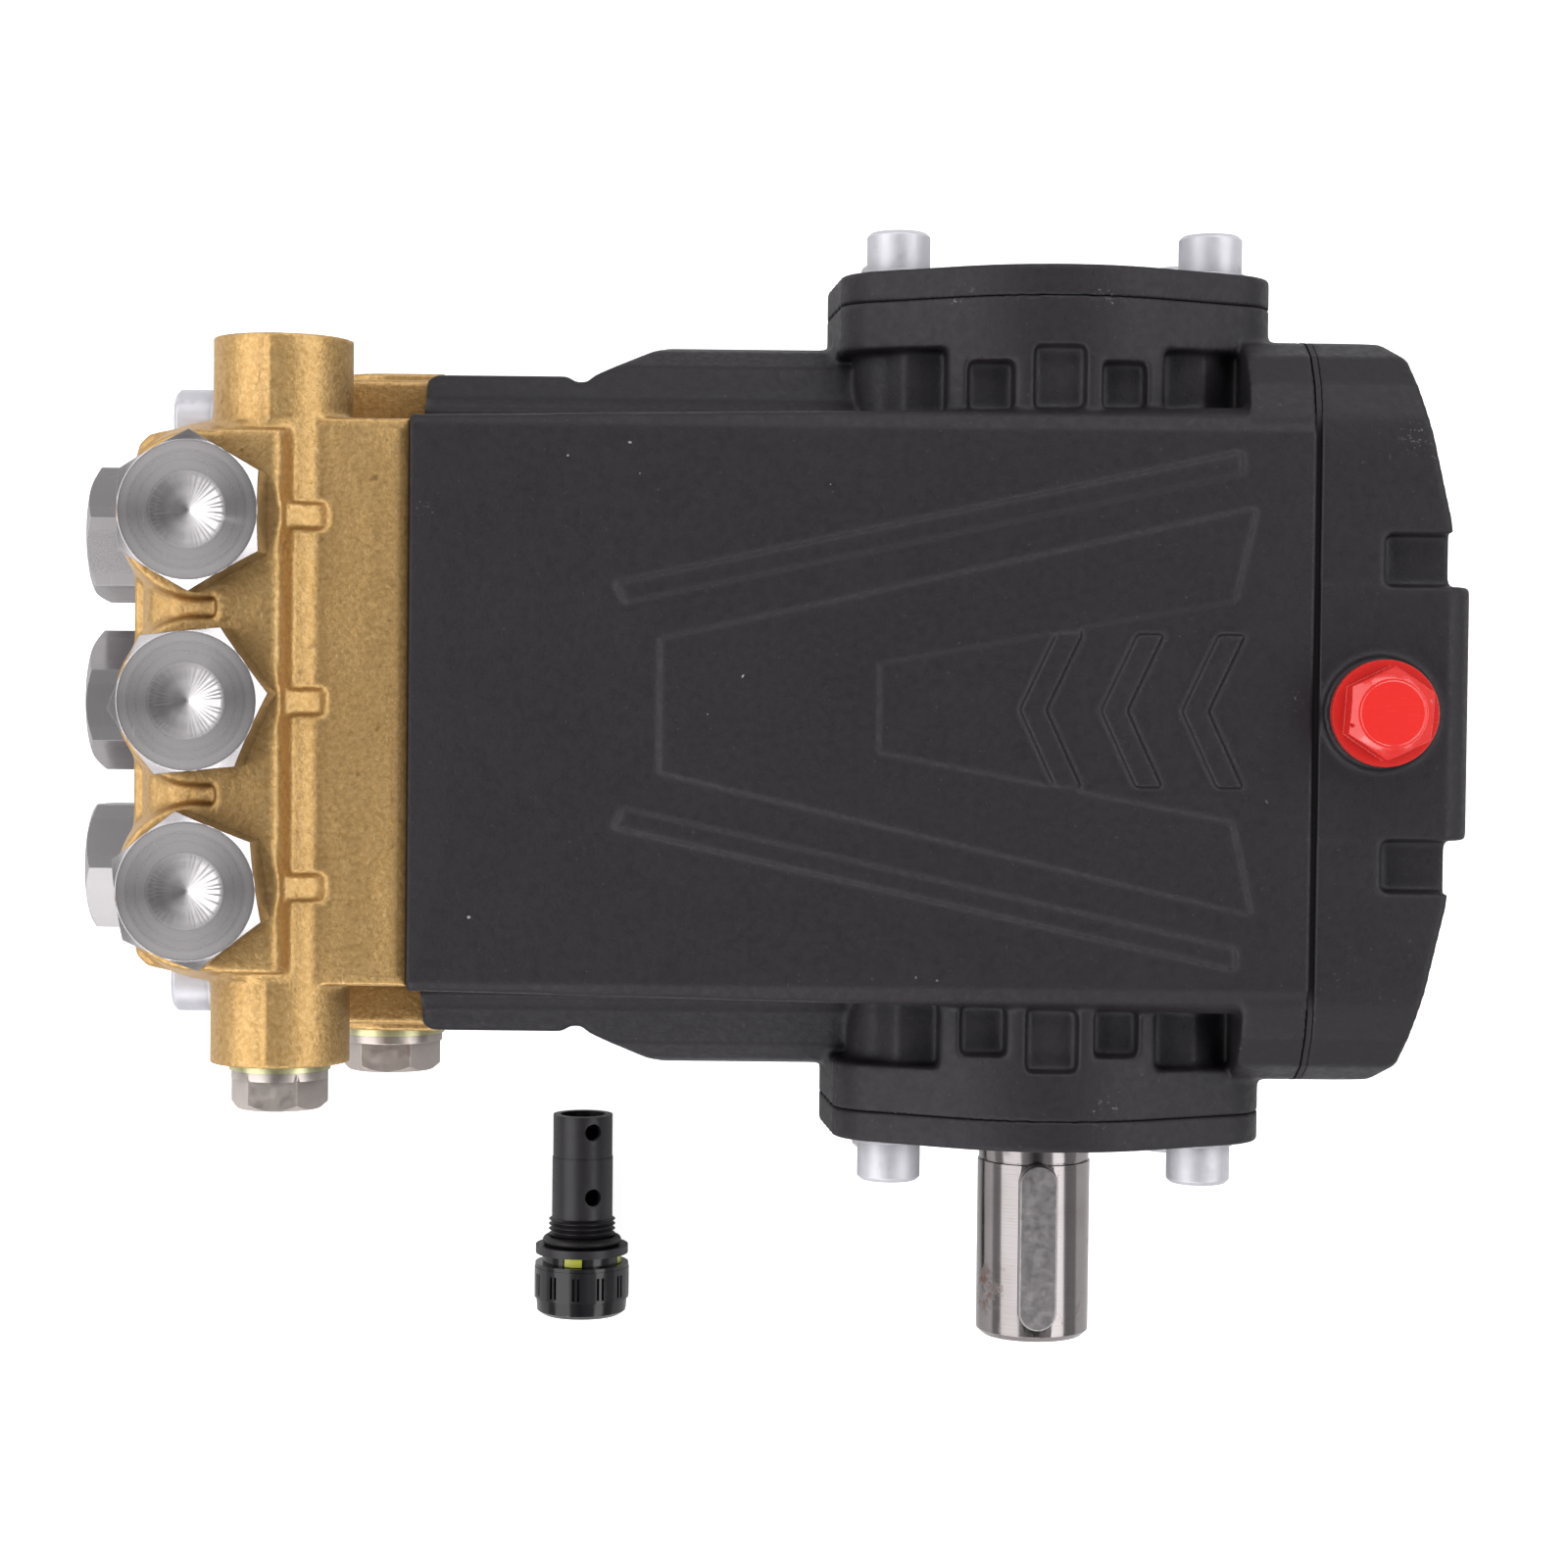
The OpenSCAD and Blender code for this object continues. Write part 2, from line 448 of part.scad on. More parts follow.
// ---- manifold ----
module manifold() color(brass_c) on_base() difference() {
  union() {
    // core and top slab beside the crankcase
    bx(-176, x_joint, -57, 57, -56, 6);
    bx(-160, x_joint, -56.4, 56.4, 0, 46);
    // block under the delivery valves, its front corners cut
    along_z(-16, 38, mirrored_y([[-150, 54.5], [-178, 54.5], [-182.5, 53.5], [-184.6, 51.5], [-185.4, 48]]));
    along_y(-55, 55, [[-176, 36], [-163, 49.2], [-153, 49.2], [-151, 45.5], [-151, 30], [-176, 30]]);
    // shallow valleys between the valve barrels
    along_y(-36.6, 36.6, [[-176, 30], [-182.6, 36], [-182.6, 43], [-180.2, 47], [-175, 49.8], [-166, 51], [-155, 51], [-151, 30]]);
    // raised seat of the three delivery valves
    along_y(-53.4, 53.4, [[-166, 30], [-166, 53.5], [-155.4, 53.5], [-153.8, 52.9], [-153, 51.6], [-151, 45.5], [-151, 30]]);
    // ears for the end screws
    for (s = side) {
      bx(-174.2, x_joint, s > 0 ? 50 : -66.6, s > 0 ? 66.6 : -50, -4, 13.4);
      bx(-174.2, x_joint, s > 0 ? 50 : -66.6, s > 0 ? 66.6 : -50, -56, -37);
      bx(-150, x_joint, s > 0 ? 50 : -67.6, s > 0 ? 67.6 : -50, -56, 13.4);
    }
    // delivery and suction galleries
    cy(13.95, -72.7, 72.7, dx, dz);
    cy(15, -72, 72, sx, sz);
    bx(sx, x_joint, -72, 72, sz - 15, sz + 15);
    for (y = rows) {
      // delivery valve barrels
      cz(16.5, 0, 53.5, vx, y);
      translate([vx, y, 36]) cylinder(r1 = 19.8, r2 = 16.8, h = 15);
      // suction valve barrels
      cx(16.5, -196, -150, y, vz);
      // short ribs over the slab
      along_y(y - 2.4, y + 2.4, [[-155, 44], [-155, 52], [-151.8, 51.4], [-146.4, 48], [-145, 46], [-145, 44]]);
    }
    // lower front block
    bx(-190, -170, -53, 53, -42, -14);
  }
  // pockets in front of the screws
  for (p = man_screws) cx(abs(p[0]) < 30 && p[1] > 0 ? 7.5 : 8, -200, seat_x(p), p[0], p[1]);
  for (s = side, z = [5, -46]) bx(-200, -174.2, s > 0 ? 59.3 : -70, s > 0 ? 70 : -59.3, z - 8, z + 8);
  for (p = man_screws) cx(4.3, -180, x_joint + 1, p[0], p[1]);
  // flat joint face
  bx(x_joint, x_joint + 20, -90, 90, -80, 80);
  // bores for plungers, seals and valves
  for (y = rows) {
    cx(15, -147, x_joint + 1, y);
    cx(13.45, -156, -146, y);
    cx(10.5, -181, -155, y);
    cz(12.2, 16, 60, vx, y);
    cz(6.5, 0, 17, vx, y);
    cx(12.2, -200, -166, y, vz);
    cx(6.5, -167, sx, y, vz);
    cz(5.5, vz, 0, -178, y);
  }
  // galleries and their threaded ends
  cy(6.8, -60, 60, dx, dz);
  cy(8.6, -60, 60, sx, sz);
  for (s = side) {
    cy(7.5, s > 0 ? 58 : -73, s > 0 ? 73 : -58, dx, dz);
    cy(9.3, s > 0 ? 56 : -73, s > 0 ? 73 : -56, sx, sz);
  }
}
module manifold_screws() color(zinc_c)
  on_base() for (p = man_screws) translate([seat_x(p) - 1.1, p[0], p[1]]) rotate([0, -90, 0]) cap_screw(4, 66, 6.5, 8, 6);

// hexagon valve cap, seat face on z = 0, thread down
module valve_cap(turn) {
  difference() {
    union() {
      rotate([0, 0, turn]) hex_head(27, 11.5);
      translate([0, 0, -8]) cylinder(r = 12.1, h = 8.5);
    }
    // dished top with a turned centre
    translate([0, 0, 10.1]) cylinder(r1 = 0.6, r2 = 7.75, h = 1.41);
    // O-ring groove
    translate([0, 0, -6.2]) difference() {
      cylinder(r = 14, h = 2.7);
      translate([0, 0, -1]) cylinder(r = 9.8, h = 5);
    }
    translate([0, 0, -9]) cylinder(r = 7, h = 4);
  }
}
module delivery_valve_caps() color(steel_c)
  on_base() for (i = [0:2]) translate([vx, rows[i], 53.52]) valve_cap([30, 6, 38][i]);
module suction_valve_caps() color(steel_c)
  on_base() for (i = [0:2]) translate([-196.02, rows[i], vz]) rotate([0, -90, 0]) valve_cap([12, 25, 0][i]);
module valve_cap_o_rings() color(rubber_c) on_base() for (y = rows) {
  translate([vx, y, 53.52 - 4.85]) torus(11, 1.15);
  translate([-196.02 + 4.85, y, vz]) rotate([0, -90, 0]) torus(11, 1.15);
}
// valve parts stand on z = 0 at the seat's underside and point up the flow
module seat_shape() difference() {
  cylinder(r = 12.15, h = 6);
  translate([0, 0, -1]) cylinder(r = 6, h = 8);
  translate([0, 0, 4.6]) cylinder(r1 = 6, r2 = 7.5, h = 1.5);
}
module cage_shape(h) difference() {
  translate([0, 0, 6.02]) cylinder(r = 12.1, h = h);
  translate([0, 0, 5]) cylinder(r = 9.6, h = h - 1.5);
  for (k = [0:2]) rotate([0, 0, 30 + 60 * k]) translate([-20, -3.6, 7.5]) cube([40, 7.2, h - 7]);
  translate([0, 0, 5 + h - 3]) cylinder(r = 3.2, h = 8);
}
module valve_shape() difference() {
  union() {
    translate([0, 0, 6.06]) cylinder(r = 9.1, h = 2.6);
    translate([0, 0, 8]) cylinder(r = 4, h = 3);
    translate([0, 0, 4.9]) cylinder(r1 = 6.1, r2 = 7.2, h = 1.16 + eps);
  }
  translate([0, 0, 8.6]) cylinder(r = 2.4, h = 4);
}
module at_delivery(y) translate([vx, y, 16.02]) children();
module at_suction(y) translate([-166.02, y, vz]) rotate([0, -90, 0]) children();
module valve_seats() color(steel_c) on_base() for (y = rows) {
  at_delivery(y) seat_shape();
  at_suction(y) seat_shape();
}
module valve_cages() color([0.85, 0.85, 0.82]) on_base() for (y = rows) {
  at_delivery(y) cage_shape(23.4);
  at_suction(y) cage_shape(15.9);
}
module delivery_valve(i) color(steel_c) on_base() at_delivery(rows[i]) valve_shape();
module suction_valve(i) color(steel_c) on_base() at_suction(rows[i]) valve_shape();
module delivery_valve_1() delivery_valve(0);
module delivery_valve_2() delivery_valve(1);
module delivery_valve_3() delivery_valve(2);
module suction_valve_1() suction_valve(0);
module suction_valve_2() suction_valve(1);
module suction_valve_3() suction_valve(2);
module delivery_valve_springs() color(steel_c) on_base() for (y = rows) at_delivery(y) translate([0, 0, 8.75]) spring(5.4, 0.55, 18, 5);
module suction_valve_springs() color(steel_c) on_base() for (y = rows) at_suction(y) translate([0, 0, 8.75]) spring(5.4, 0.55, 10.6, 4);

// ---- plugs ----
// hexagon plug: seat on z = 0, thread down
module hex_plug(af, h, r, long, flange) difference() {
  union() {
    translate([0, 0, 1.6]) hex_head(af, h);
    cylinder(r = flange, h = 1.8);
    translate([0, 0, -long]) cylinder(r = r, h = long + 0.5);
  }
  translate([0, 0, h - 1.2]) cylinder(r1 = 1, r2 = af / 4, h = 2.9);
}
module delivery_port_plug() color([0.62, 0.58, 0.56]) on_base() translate([dx, -74.2, dz]) rotate([90, 0, 0]) hex_plug(17, 6.2, 7.45, 13, 9.7);
module suction_port_plug() color([0.62, 0.58, 0.56]) on_base() translate([sx, -73.7, sz]) rotate([90, 0, 0]) hex_plug(19, 6.6, 9.25, 14, 11.3);
module plug_washers() color([0.78, 0.77, 0.5]) on_base() {
  translate([dx, -72.71, dz]) rotate([90, 0, 0]) washer(7.6, 10.2, 1.48);
  translate([sx, -72.01, sz]) rotate([90, 0, 0]) washer(9.4, 11.8, 1.68);
  translate([78.01, 0, -45]) rotate([0, 90, 0]) washer(6.1, 9.5, 1.4);
}
module oil_drain_plug() color([0.62, 0.58, 0.56]) on_base() translate([79.42, 0, -45]) rotate([0, 90, 0]) hex_plug(13, 4.2, 6, 8, 9);
module sight_glass() color([0.8, 0.85, 0.8, 0.6]) on_base() translate([76.02, 0, -5]) rotate([0, 90, 0]) difference() {
  union() {
    cylinder(r = 13, h = 6.9);
    translate([0, 0, 6.8]) cylinder(r1 = 11, r2 = 10, h = 1);
  }
  translate([0, 0, -1]) cylinder(r = 9.4, h = 5);
}
module filler_plug() color([0.86, 0.16, 0.14]) on_base() translate([63, 0, 52.2]) difference() {
  union() {
    cylinder(r = 10.5, h = 2.6);
    translate([0, 0, 2.4]) intersection() {
      rotate([0, 0, 26]) cylinder(r = 16 / sqrt(3), h = 7.2, $fn = 6);
      union() {
        cylinder(r = 10, h = 5.4);
        translate([0, 0, 5.4]) cylinder(r1 = 9.3, r2 = 6.7, h = 1.81);
      }
    }
    translate([0, 0, 9.5]) cylinder(r1 = 6.6, r2 = 6.1, h = 0.3);
    translate([0, 0, -12]) cylinder(r = 8, h = 12.5);
  }
  translate([0, 0, -13]) cylinder(r = 5.5, h = 10);
}
module filler_plug_o_ring() color(rubber_c) on_base() translate([63, 0, 51.36]) torus(9.2, 0.82);

// ---- loose vented oil plug, lying beside the pump with its axis along Y ----
br = [-101.1, -96.6, z_base + 11.2];
module breather_axis() translate(br) rotate([90, 0, 0]) children();
module breather_body() color([0.3, 0.3, 0.32]) on_base() breather_axis() difference() {
  union() {
    // tube, thread rings, neck under the O-ring, flange and inner sleeve
    cylinder(r = 7, h = 22);
    translate([0, 0, 10]) cylinder(r = 7.15, h = 20);
    for (k = [0:3]) translate([0, 0, 24.3 + k * 1.15]) {
      cylinder(r1 = 7.15, r2 = 7.85, h = 0.5);
      translate([0, 0, 0.49]) cylinder(r1 = 7.85, r2 = 7.15, h = 0.5);
    }
    translate([0, 0, 30.8]) cylinder(r = 10.9, h = 1.9);
    translate([0, 0, 28]) cylinder(r = 7.15, h = 5);
    translate([0, 0, 32]) cylinder(r = 8.4, h = 6.5);
  }
  translate([0, 0, -1]) cylinder(r = 5.3, h = 33);
  // two side holes
  for (z = [3.6, 18.9]) translate([0, 0, z]) rotate([0, 0, -25]) rotate([-90, 0, 0]) cylinder(r = 2, h = 12, $fn = 48);
  for (k = [0:3]) rotate([0, 0, 45 + 90 * k]) translate([4, -2, 33.4]) cube([8, 4, 3]);
}
module breather_o_ring() color(rubber_c) on_base() breather_axis() translate([0, 0, 29.75]) torus(8.23, 1.03);
module breather_cap() color([0.06, 0.06, 0.07]) on_base() breather_axis() difference() {
  union() {
    translate([0, 0, 35]) cylinder(r = 11, h = 1);
    translate([0, 0, 35.9]) cylinder(r = 11.15, h = 7.2);
    translate([0, 0, 43]) cylinder(r1 = 10.75, r2 = 10.5, h = 3.2);
    translate([0, 0, 46.19]) cylinder(r1 = 10.5, r2 = 9.3, h = 0.9);
    // ring with four windows between the flange and the cap
    difference() {
      translate([0, 0, 32.75]) cylinder(r = 9.3, h = 2.5);
      for (k = [0:3]) rotate([0, 0, 90 * k + 9]) translate([6, -2.4, 32]) cube([6, 4.8, 3]);
    }
  }
  translate([0, 0, 30]) cylinder(r = 8.45, h = 8.6);
  for (k = [0:11], d = [-0.6, 0.6]) rotate([0, 0, 30 * k + 3]) translate([10.2, d - 0.3, 37.2]) cube([2, 0.6, 5.2]);
  translate([-12, -1.2, 45.8]) cube([24, 2.4, 3]);
}

crankcase();
rear_cover();
rear_cover_gasket();
rear_cover_screws();
drive_side_bearing_cover();
blind_side_bearing_cover();
bearing_cover_o_rings();
bearing_cover_screws();
screw_washers();
shaft_oil_seal();
bearing_outer_races();
manifold();
manifold_screws();
delivery_valve_caps();
suction_valve_caps();
valve_cap_o_rings();
valve_seats();
valve_cages();
high_pressure_seals();
low_pressure_seals();
seal_carriers();
crosshead_oil_seals();
delivery_port_plug();
suction_port_plug();
plug_washers();
oil_drain_plug();
sight_glass();
crankshaft();
shaft_key();
bearing_inner_races();
bearing_rollers();
bearing_cages();
crank_bush_1();
crank_bush_2();
crank_bush_3();
con_rod_1();
con_rod_2();
con_rod_3();
wrist_pin_1();
wrist_pin_2();
wrist_pin_3();
crosshead_1();
crosshead_2();
crosshead_3();
plunger_1();
plunger_2();
plunger_3();
delivery_valve_1();
delivery_valve_2();
delivery_valve_3();
suction_valve_1();
suction_valve_2();
suction_valve_3();
delivery_valve_springs();
suction_valve_springs();
filler_plug();
filler_plug_o_ring();
breather_body();
breather_o_ring();
breather_cap();
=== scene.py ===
"""A three-plunger pump with a crankcase, a rear cover and a brass valve manifold.

The crankshaft lies along Y. The manifold is at -X, the rear cover at +X and Z is up.
Delivery valves stand along Z and suction valves lie along X, one of each per plunger row.
Places are given in mm from the crankshaft's axis; at() turns them into metres.
"""
import json
import math
import random

import bmesh
import bpy
import numpy as np
from mathutils import Matrix, Vector


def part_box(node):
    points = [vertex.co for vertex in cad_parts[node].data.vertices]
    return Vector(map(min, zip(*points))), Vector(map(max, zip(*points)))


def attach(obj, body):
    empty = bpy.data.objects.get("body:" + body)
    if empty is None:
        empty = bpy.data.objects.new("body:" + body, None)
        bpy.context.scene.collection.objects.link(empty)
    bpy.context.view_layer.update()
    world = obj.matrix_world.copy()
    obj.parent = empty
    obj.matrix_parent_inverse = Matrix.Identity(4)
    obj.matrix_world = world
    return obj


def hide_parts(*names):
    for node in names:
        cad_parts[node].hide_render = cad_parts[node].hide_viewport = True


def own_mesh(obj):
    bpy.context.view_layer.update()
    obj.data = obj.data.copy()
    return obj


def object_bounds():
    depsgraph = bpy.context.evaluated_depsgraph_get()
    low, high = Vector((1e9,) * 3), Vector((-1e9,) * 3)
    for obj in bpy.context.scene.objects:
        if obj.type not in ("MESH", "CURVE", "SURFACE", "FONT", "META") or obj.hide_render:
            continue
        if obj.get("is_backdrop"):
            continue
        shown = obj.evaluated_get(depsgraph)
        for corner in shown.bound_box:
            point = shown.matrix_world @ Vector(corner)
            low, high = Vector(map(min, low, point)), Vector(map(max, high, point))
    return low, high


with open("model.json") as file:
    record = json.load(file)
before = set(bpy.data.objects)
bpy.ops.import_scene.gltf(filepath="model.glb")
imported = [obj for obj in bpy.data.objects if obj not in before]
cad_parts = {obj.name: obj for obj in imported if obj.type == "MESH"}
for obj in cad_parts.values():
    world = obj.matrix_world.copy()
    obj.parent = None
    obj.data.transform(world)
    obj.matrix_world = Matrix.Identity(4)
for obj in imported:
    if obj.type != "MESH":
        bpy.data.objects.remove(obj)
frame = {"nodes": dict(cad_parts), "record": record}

random.seed(11)
MM = 0.001


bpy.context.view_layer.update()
NODES = frame["nodes"]
RECORD = frame["record"]
BODY = {node: body for body, nodes in RECORD["behaviour"]["bodies"].items() for node in nodes}

# ------------------------------------------------------------------ driving dimensions, mm
PITCH = 36.66  # between plunger rows
ROWS = [PITCH, 0.0, -PITCH]
JOINT_X = -129.0  # joint face of crankcase and manifold
FEET_Z = -75.0
DELIVERY_X = -169.4  # axes of the delivery valves
SUCTION_Z = -28.0  # axes of the suction valves

# The crankshaft's axis in the row frame, from the corner of the crankcase's box.
case_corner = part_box("crankcase")[0]
SHAFT_X = case_corner.x / MM - JOINT_X
SHAFT_Z = case_corner.z / MM - FEET_Z


def at(x, y, z):
    """A place given from the crankshaft's axis in mm, as metres in the row frame."""
    return Vector(((x + SHAFT_X) * MM, y * MM, (z + SHAFT_Z) * MM))


# ------------------------------------------------------------------ node trees
class Graph:
    """Small helper around a node tree."""

    def __init__(self, tree):
        self.tree = tree
        tree.nodes.clear()

    def node(self, kind, **settings):
        node = self.tree.nodes.new(kind)
        for key, value in settings.items():
            setattr(node, key, value)
        return node

    def link(self, source, target):
        self.tree.links.new(source, target)

    def put(self, socket, value):
        """Link a socket, or set its value."""
        if isinstance(value, bpy.types.NodeSocket):
            self.link(value, socket)
        elif isinstance(value, tuple) and len(value) == 3 and socket.type == "RGBA":
            socket.default_value = (*value, 1)
        else:
            socket.default_value = value

    def split(self, vector):
        node = self.node("ShaderNodeSeparateXYZ")
        self.link(vector, node.inputs[0])
        return node.outputs

    def ramp(self, fac, stops):
        """Colour ramp through (position, grey or colour) stops."""
        node = self.node("ShaderNodeValToRGB")
        elements = node.color_ramp.elements

        def fill(element, stop):
            position, value = stop
            element.position = position
            element.color = (*value, 1) if isinstance(value, tuple) else (value, value, value, 1)

        fill(elements[0], stops[0])
        fill(elements[1], stops[-1])
        for stop in stops[1:-1]:
            fill(elements.new(stop[0]), stop)
        self.link(fac, node.inputs[0])
        return node.outputs[0]


class Material(Graph):
    """A Principled material with textures in object coordinates."""

    SOCKETS = {
        "color": "Base Color", "metal": "Metallic", "rough": "Roughness", "normal": "Normal",
        "coat": "Coat Weight", "aniso": "Anisotropic", "tangent": "Tangent", "ior": "IOR",
        "trans": "Transmission Weight", "sub": "Subsurface Weight", "spec": "Specular IOR Level",
    }

    def __init__(self, name):
        self.material = bpy.data.materials.new(name)
        self.material.use_nodes = True
        super().__init__(self.material.node_tree)
        output = self.node("ShaderNodeOutputMaterial")
        self.shader = self.node("ShaderNodeBsdfPrincipled")
        self.link(self.shader.outputs[0], output.inputs[0])
        self.place = self.node("ShaderNodeTexCoord").outputs["Object"]

    def noise(self, scale, detail, rough=0.55, vector=None, stretch=None):
        vector = vector or self.place
        if stretch:
            mapping = self.node("ShaderNodeMapping")
            self.link(vector, mapping.inputs["Vector"])
            mapping.inputs["Scale"].default_value = stretch
            vector = mapping.outputs[0]
        node = self.node("ShaderNodeTexNoise")
        node.inputs["Scale"].default_value = scale
        node.inputs["Detail"].default_value = detail
        node.inputs["Roughness"].default_value = rough
        self.link(vector, node.inputs["Vector"])
        return node.outputs["Fac"]

    def step(self, fac, start, end, before=0.0, after=1.0):
        """Goes from one grey to another between two positions."""
        return self.ramp(fac, [(start, before), (end, after)])

    def mix(self, fac, low, high):
        node = self.node("ShaderNodeMix", data_type="RGBA", blend_type="MIX")
        self.put(node.inputs[0], fac)
        self.put(node.inputs[6], low)
        self.put(node.inputs[7], high)
        return node.outputs[2]

    def over(self, base, top, where, amount=None):
        """Lay a colour over another by a mask, thinned to an amount."""
        if amount is not None:
            where = self.mul(where, amount)
        return self.mix(where, base, top)

    def math(self, operation, *values):
        node = self.node("ShaderNodeMath", operation=operation)
        padded = (*values, 0.0, 0.0)
        for k in range(3):
            self.put(node.inputs[k], padded[k])
        return node.outputs[0]

    def mul(self, first, second):
        return self.math("MULTIPLY", first, second)

    def spot(self, x, y, z, radius):
        """1 at a place given from the crankshaft's axis in mm, 0 beyond the radius."""
        node = self.node("ShaderNodeVectorMath", operation="DISTANCE")
        self.link(self.place, node.inputs[0])
        node.inputs[1].default_value = at(x, y, z)
        share = self.math("DIVIDE", node.outputs["Value"], radius * MM)
        return self.step(share, start=0.45, end=1.0, before=1.0, after=0.0)

    def edges(self, end):
        """Light on convex edges, from the mesh's own curvature."""
        geometry = self.node("ShaderNodeNewGeometry")
        return self.step(geometry.outputs["Pointiness"], start=0.53, end=end)

    def hollow(self, reach):
        """1 in the open, lower in grooves and corners; reach in m."""
        node = self.node("ShaderNodeAmbientOcclusion", samples=6)
        node.inputs["Distance"].default_value = reach
        return node.outputs["AO"]

    def bumps(self, *layers):
        """Stacked bumps, each (height, strength, distance in m)."""
        normal = None
        for height, strength, distance in layers:
            node = self.node("ShaderNodeBump")
            node.inputs["Strength"].default_value = strength
            node.inputs["Distance"].default_value = distance
            self.link(height, node.inputs["Height"])
            if normal is not None:
                self.link(normal, node.inputs["Normal"])
            normal = node.outputs[0]
        return normal

    def along(self, value):
        """A vector that varies with one value only, for ring textures."""
        node = self.node("ShaderNodeCombineXYZ")
        self.link(value, node.inputs[0])
        return node.outputs[0]

    def tangent(self, first, second, axes):
        """Unit tangent round a turning axis, from offsets along two axes (0, 1, 2 = X, Y, Z)."""
        turn = self.node("ShaderNodeCombineXYZ")
        self.link(self.mul(second, -1.0), turn.inputs[axes[0]])
        self.link(self.mul(first, 1.0), turn.inputs[axes[1]])
        unit = self.node("ShaderNodeVectorMath", operation="NORMALIZE")
        self.link(turn.outputs[0], unit.inputs[0])
        return unit.outputs[0]

    def finish(self, **values):
        for key, value in values.items():
            self.put(self.shader.inputs[self.SOCKETS[key]], value)
        return self.material


def scaled(colour, factor):
    return tuple(c * factor for c in colour)


# ------------------------------------------------------------------ materials
# x, y, z and radius of the scuffed places on the black castings, mm
SCUFFS = [
    (-126, 38.0, 47.5, 2.6), (69.5, 54.5, 47.0, 4.5), (72.5, 51.5, 46.0, 3.0), (46, 2, 50, 3.0),
    (8, 82, 45, 4), (-20, 82, 41, 3.5), (10, -80, 44, 4), (70, -50, 44, 4),
]


def black_casting():
    mat = Material("black_cast_coat")
    patches = mat.noise(scale=16, detail=3)
    mottle = mat.noise(scale=70, detail=4)
    fine = mat.noise(scale=1500, detail=2)
    grain = mat.noise(scale=620, detail=3, rough=0.6)
    color = mat.mix(patches, (0.0075, 0.0062, 0.008), (0.0145, 0.0122, 0.0155))
    color = mat.over(color, (0.02, 0.0172, 0.0205), where=mottle, amount=0.5)
    # brighter cut edges and tiny chips that show bare metal
    color = mat.over(color, (0.035, 0.032, 0.036), where=mat.edges(end=0.64), amount=0.2)
    chips = mat.step(mat.noise(scale=420, detail=2, rough=0.4), start=0.745, end=0.76)
    chipped = mat.step(mat.noise(scale=34, detail=2), start=0.62, end=0.68)
    color = mat.over(color, (0.26, 0.25, 0.24), where=mat.mul(chips, chipped))
    dust = mat.step(mat.noise(scale=900, detail=1), start=0.72, end=0.8)
    color = mat.over(color, (0.075, 0.07, 0.075), where=dust, amount=0.25)
    scuff = mat.spot(*SCUFFS[0])
    for place in SCUFFS[1:]:
        scuff = mat.math("MAXIMUM", scuff, mat.spot(*place))
    scratches = mat.noise(scale=1100, detail=4, rough=0.75)
    scuff = mat.mul(scuff, mat.step(scratches, start=0.6, end=0.65, after=0.7))
    color = mat.over(color, (0.2, 0.185, 0.18), where=scuff)
    shadow = mat.mix(0.5, color, (0.004, 0.004, 0.005))
    color = mat.mix(mat.hollow(reach=0.005), shadow, color)
    normal = mat.bumps((fine, 0.22, 0.00014), (grain, 0.5, 0.00022), (mottle, 0.25, 0.0004))
    rough = mat.step(grain, start=0.3, end=0.7, before=0.44, after=0.6)
    return mat.finish(color=color, metal=0.0, rough=rough, normal=normal, spec=0.33)


def cast_brass():
    mat = Material("blasted_cast_brass")
    patches = mat.noise(scale=26, detail=4)
    mottle = mat.noise(scale=160, detail=4)
    fine = mat.noise(scale=1700, detail=2)
    grain = mat.noise(scale=800, detail=3, rough=0.65)
    color = mat.mix(patches, (0.43, 0.255, 0.088), (0.55, 0.35, 0.14))
    tint = mat.step(mottle, start=0.35, end=0.75, after=0.5)
    color = mat.over(color, (0.44, 0.255, 0.075), where=tint)
    sand = mat.step(mat.noise(scale=1050, detail=3, rough=0.7), start=0.38, end=0.62)
    color = mat.over(color, (0.72, 0.51, 0.255), where=sand, amount=0.38)
    specks = mat.step(mat.noise(scale=760, detail=2, rough=0.6), start=0.55, end=0.72)
    color = mat.over(color, (0.3, 0.17, 0.055), where=specks, amount=0.35)
    pits = mat.step(mat.noise(scale=330, detail=2), start=0.25, end=0.33, before=1.0, after=0.0)
    color = mat.over(color, (0.2, 0.11, 0.035), where=pits, amount=0.5)
    color = mat.over(color, (0.8, 0.61, 0.33), where=mat.edges(end=0.64), amount=0.28)
    shadow = mat.mix(0.6, color, (0.17, 0.085, 0.025))
    color = mat.mix(mat.step(mat.hollow(reach=0.009), start=0.2, end=0.9), shadow, color)
    normal = mat.bumps((fine, 0.35, 0.00012), (grain, 0.6, 0.00026), (mottle, 0.35, 0.0006))
    rough = mat.step(grain, start=0.3, end=0.7, before=0.38, after=0.52)
    return mat.finish(color=color, metal=0.86, rough=rough, normal=normal)


DISH_RADIUS = 7.75  # of the dished middle of a valve cap, mm
RING_SCALE = 2600  # noise scale of the turning marks


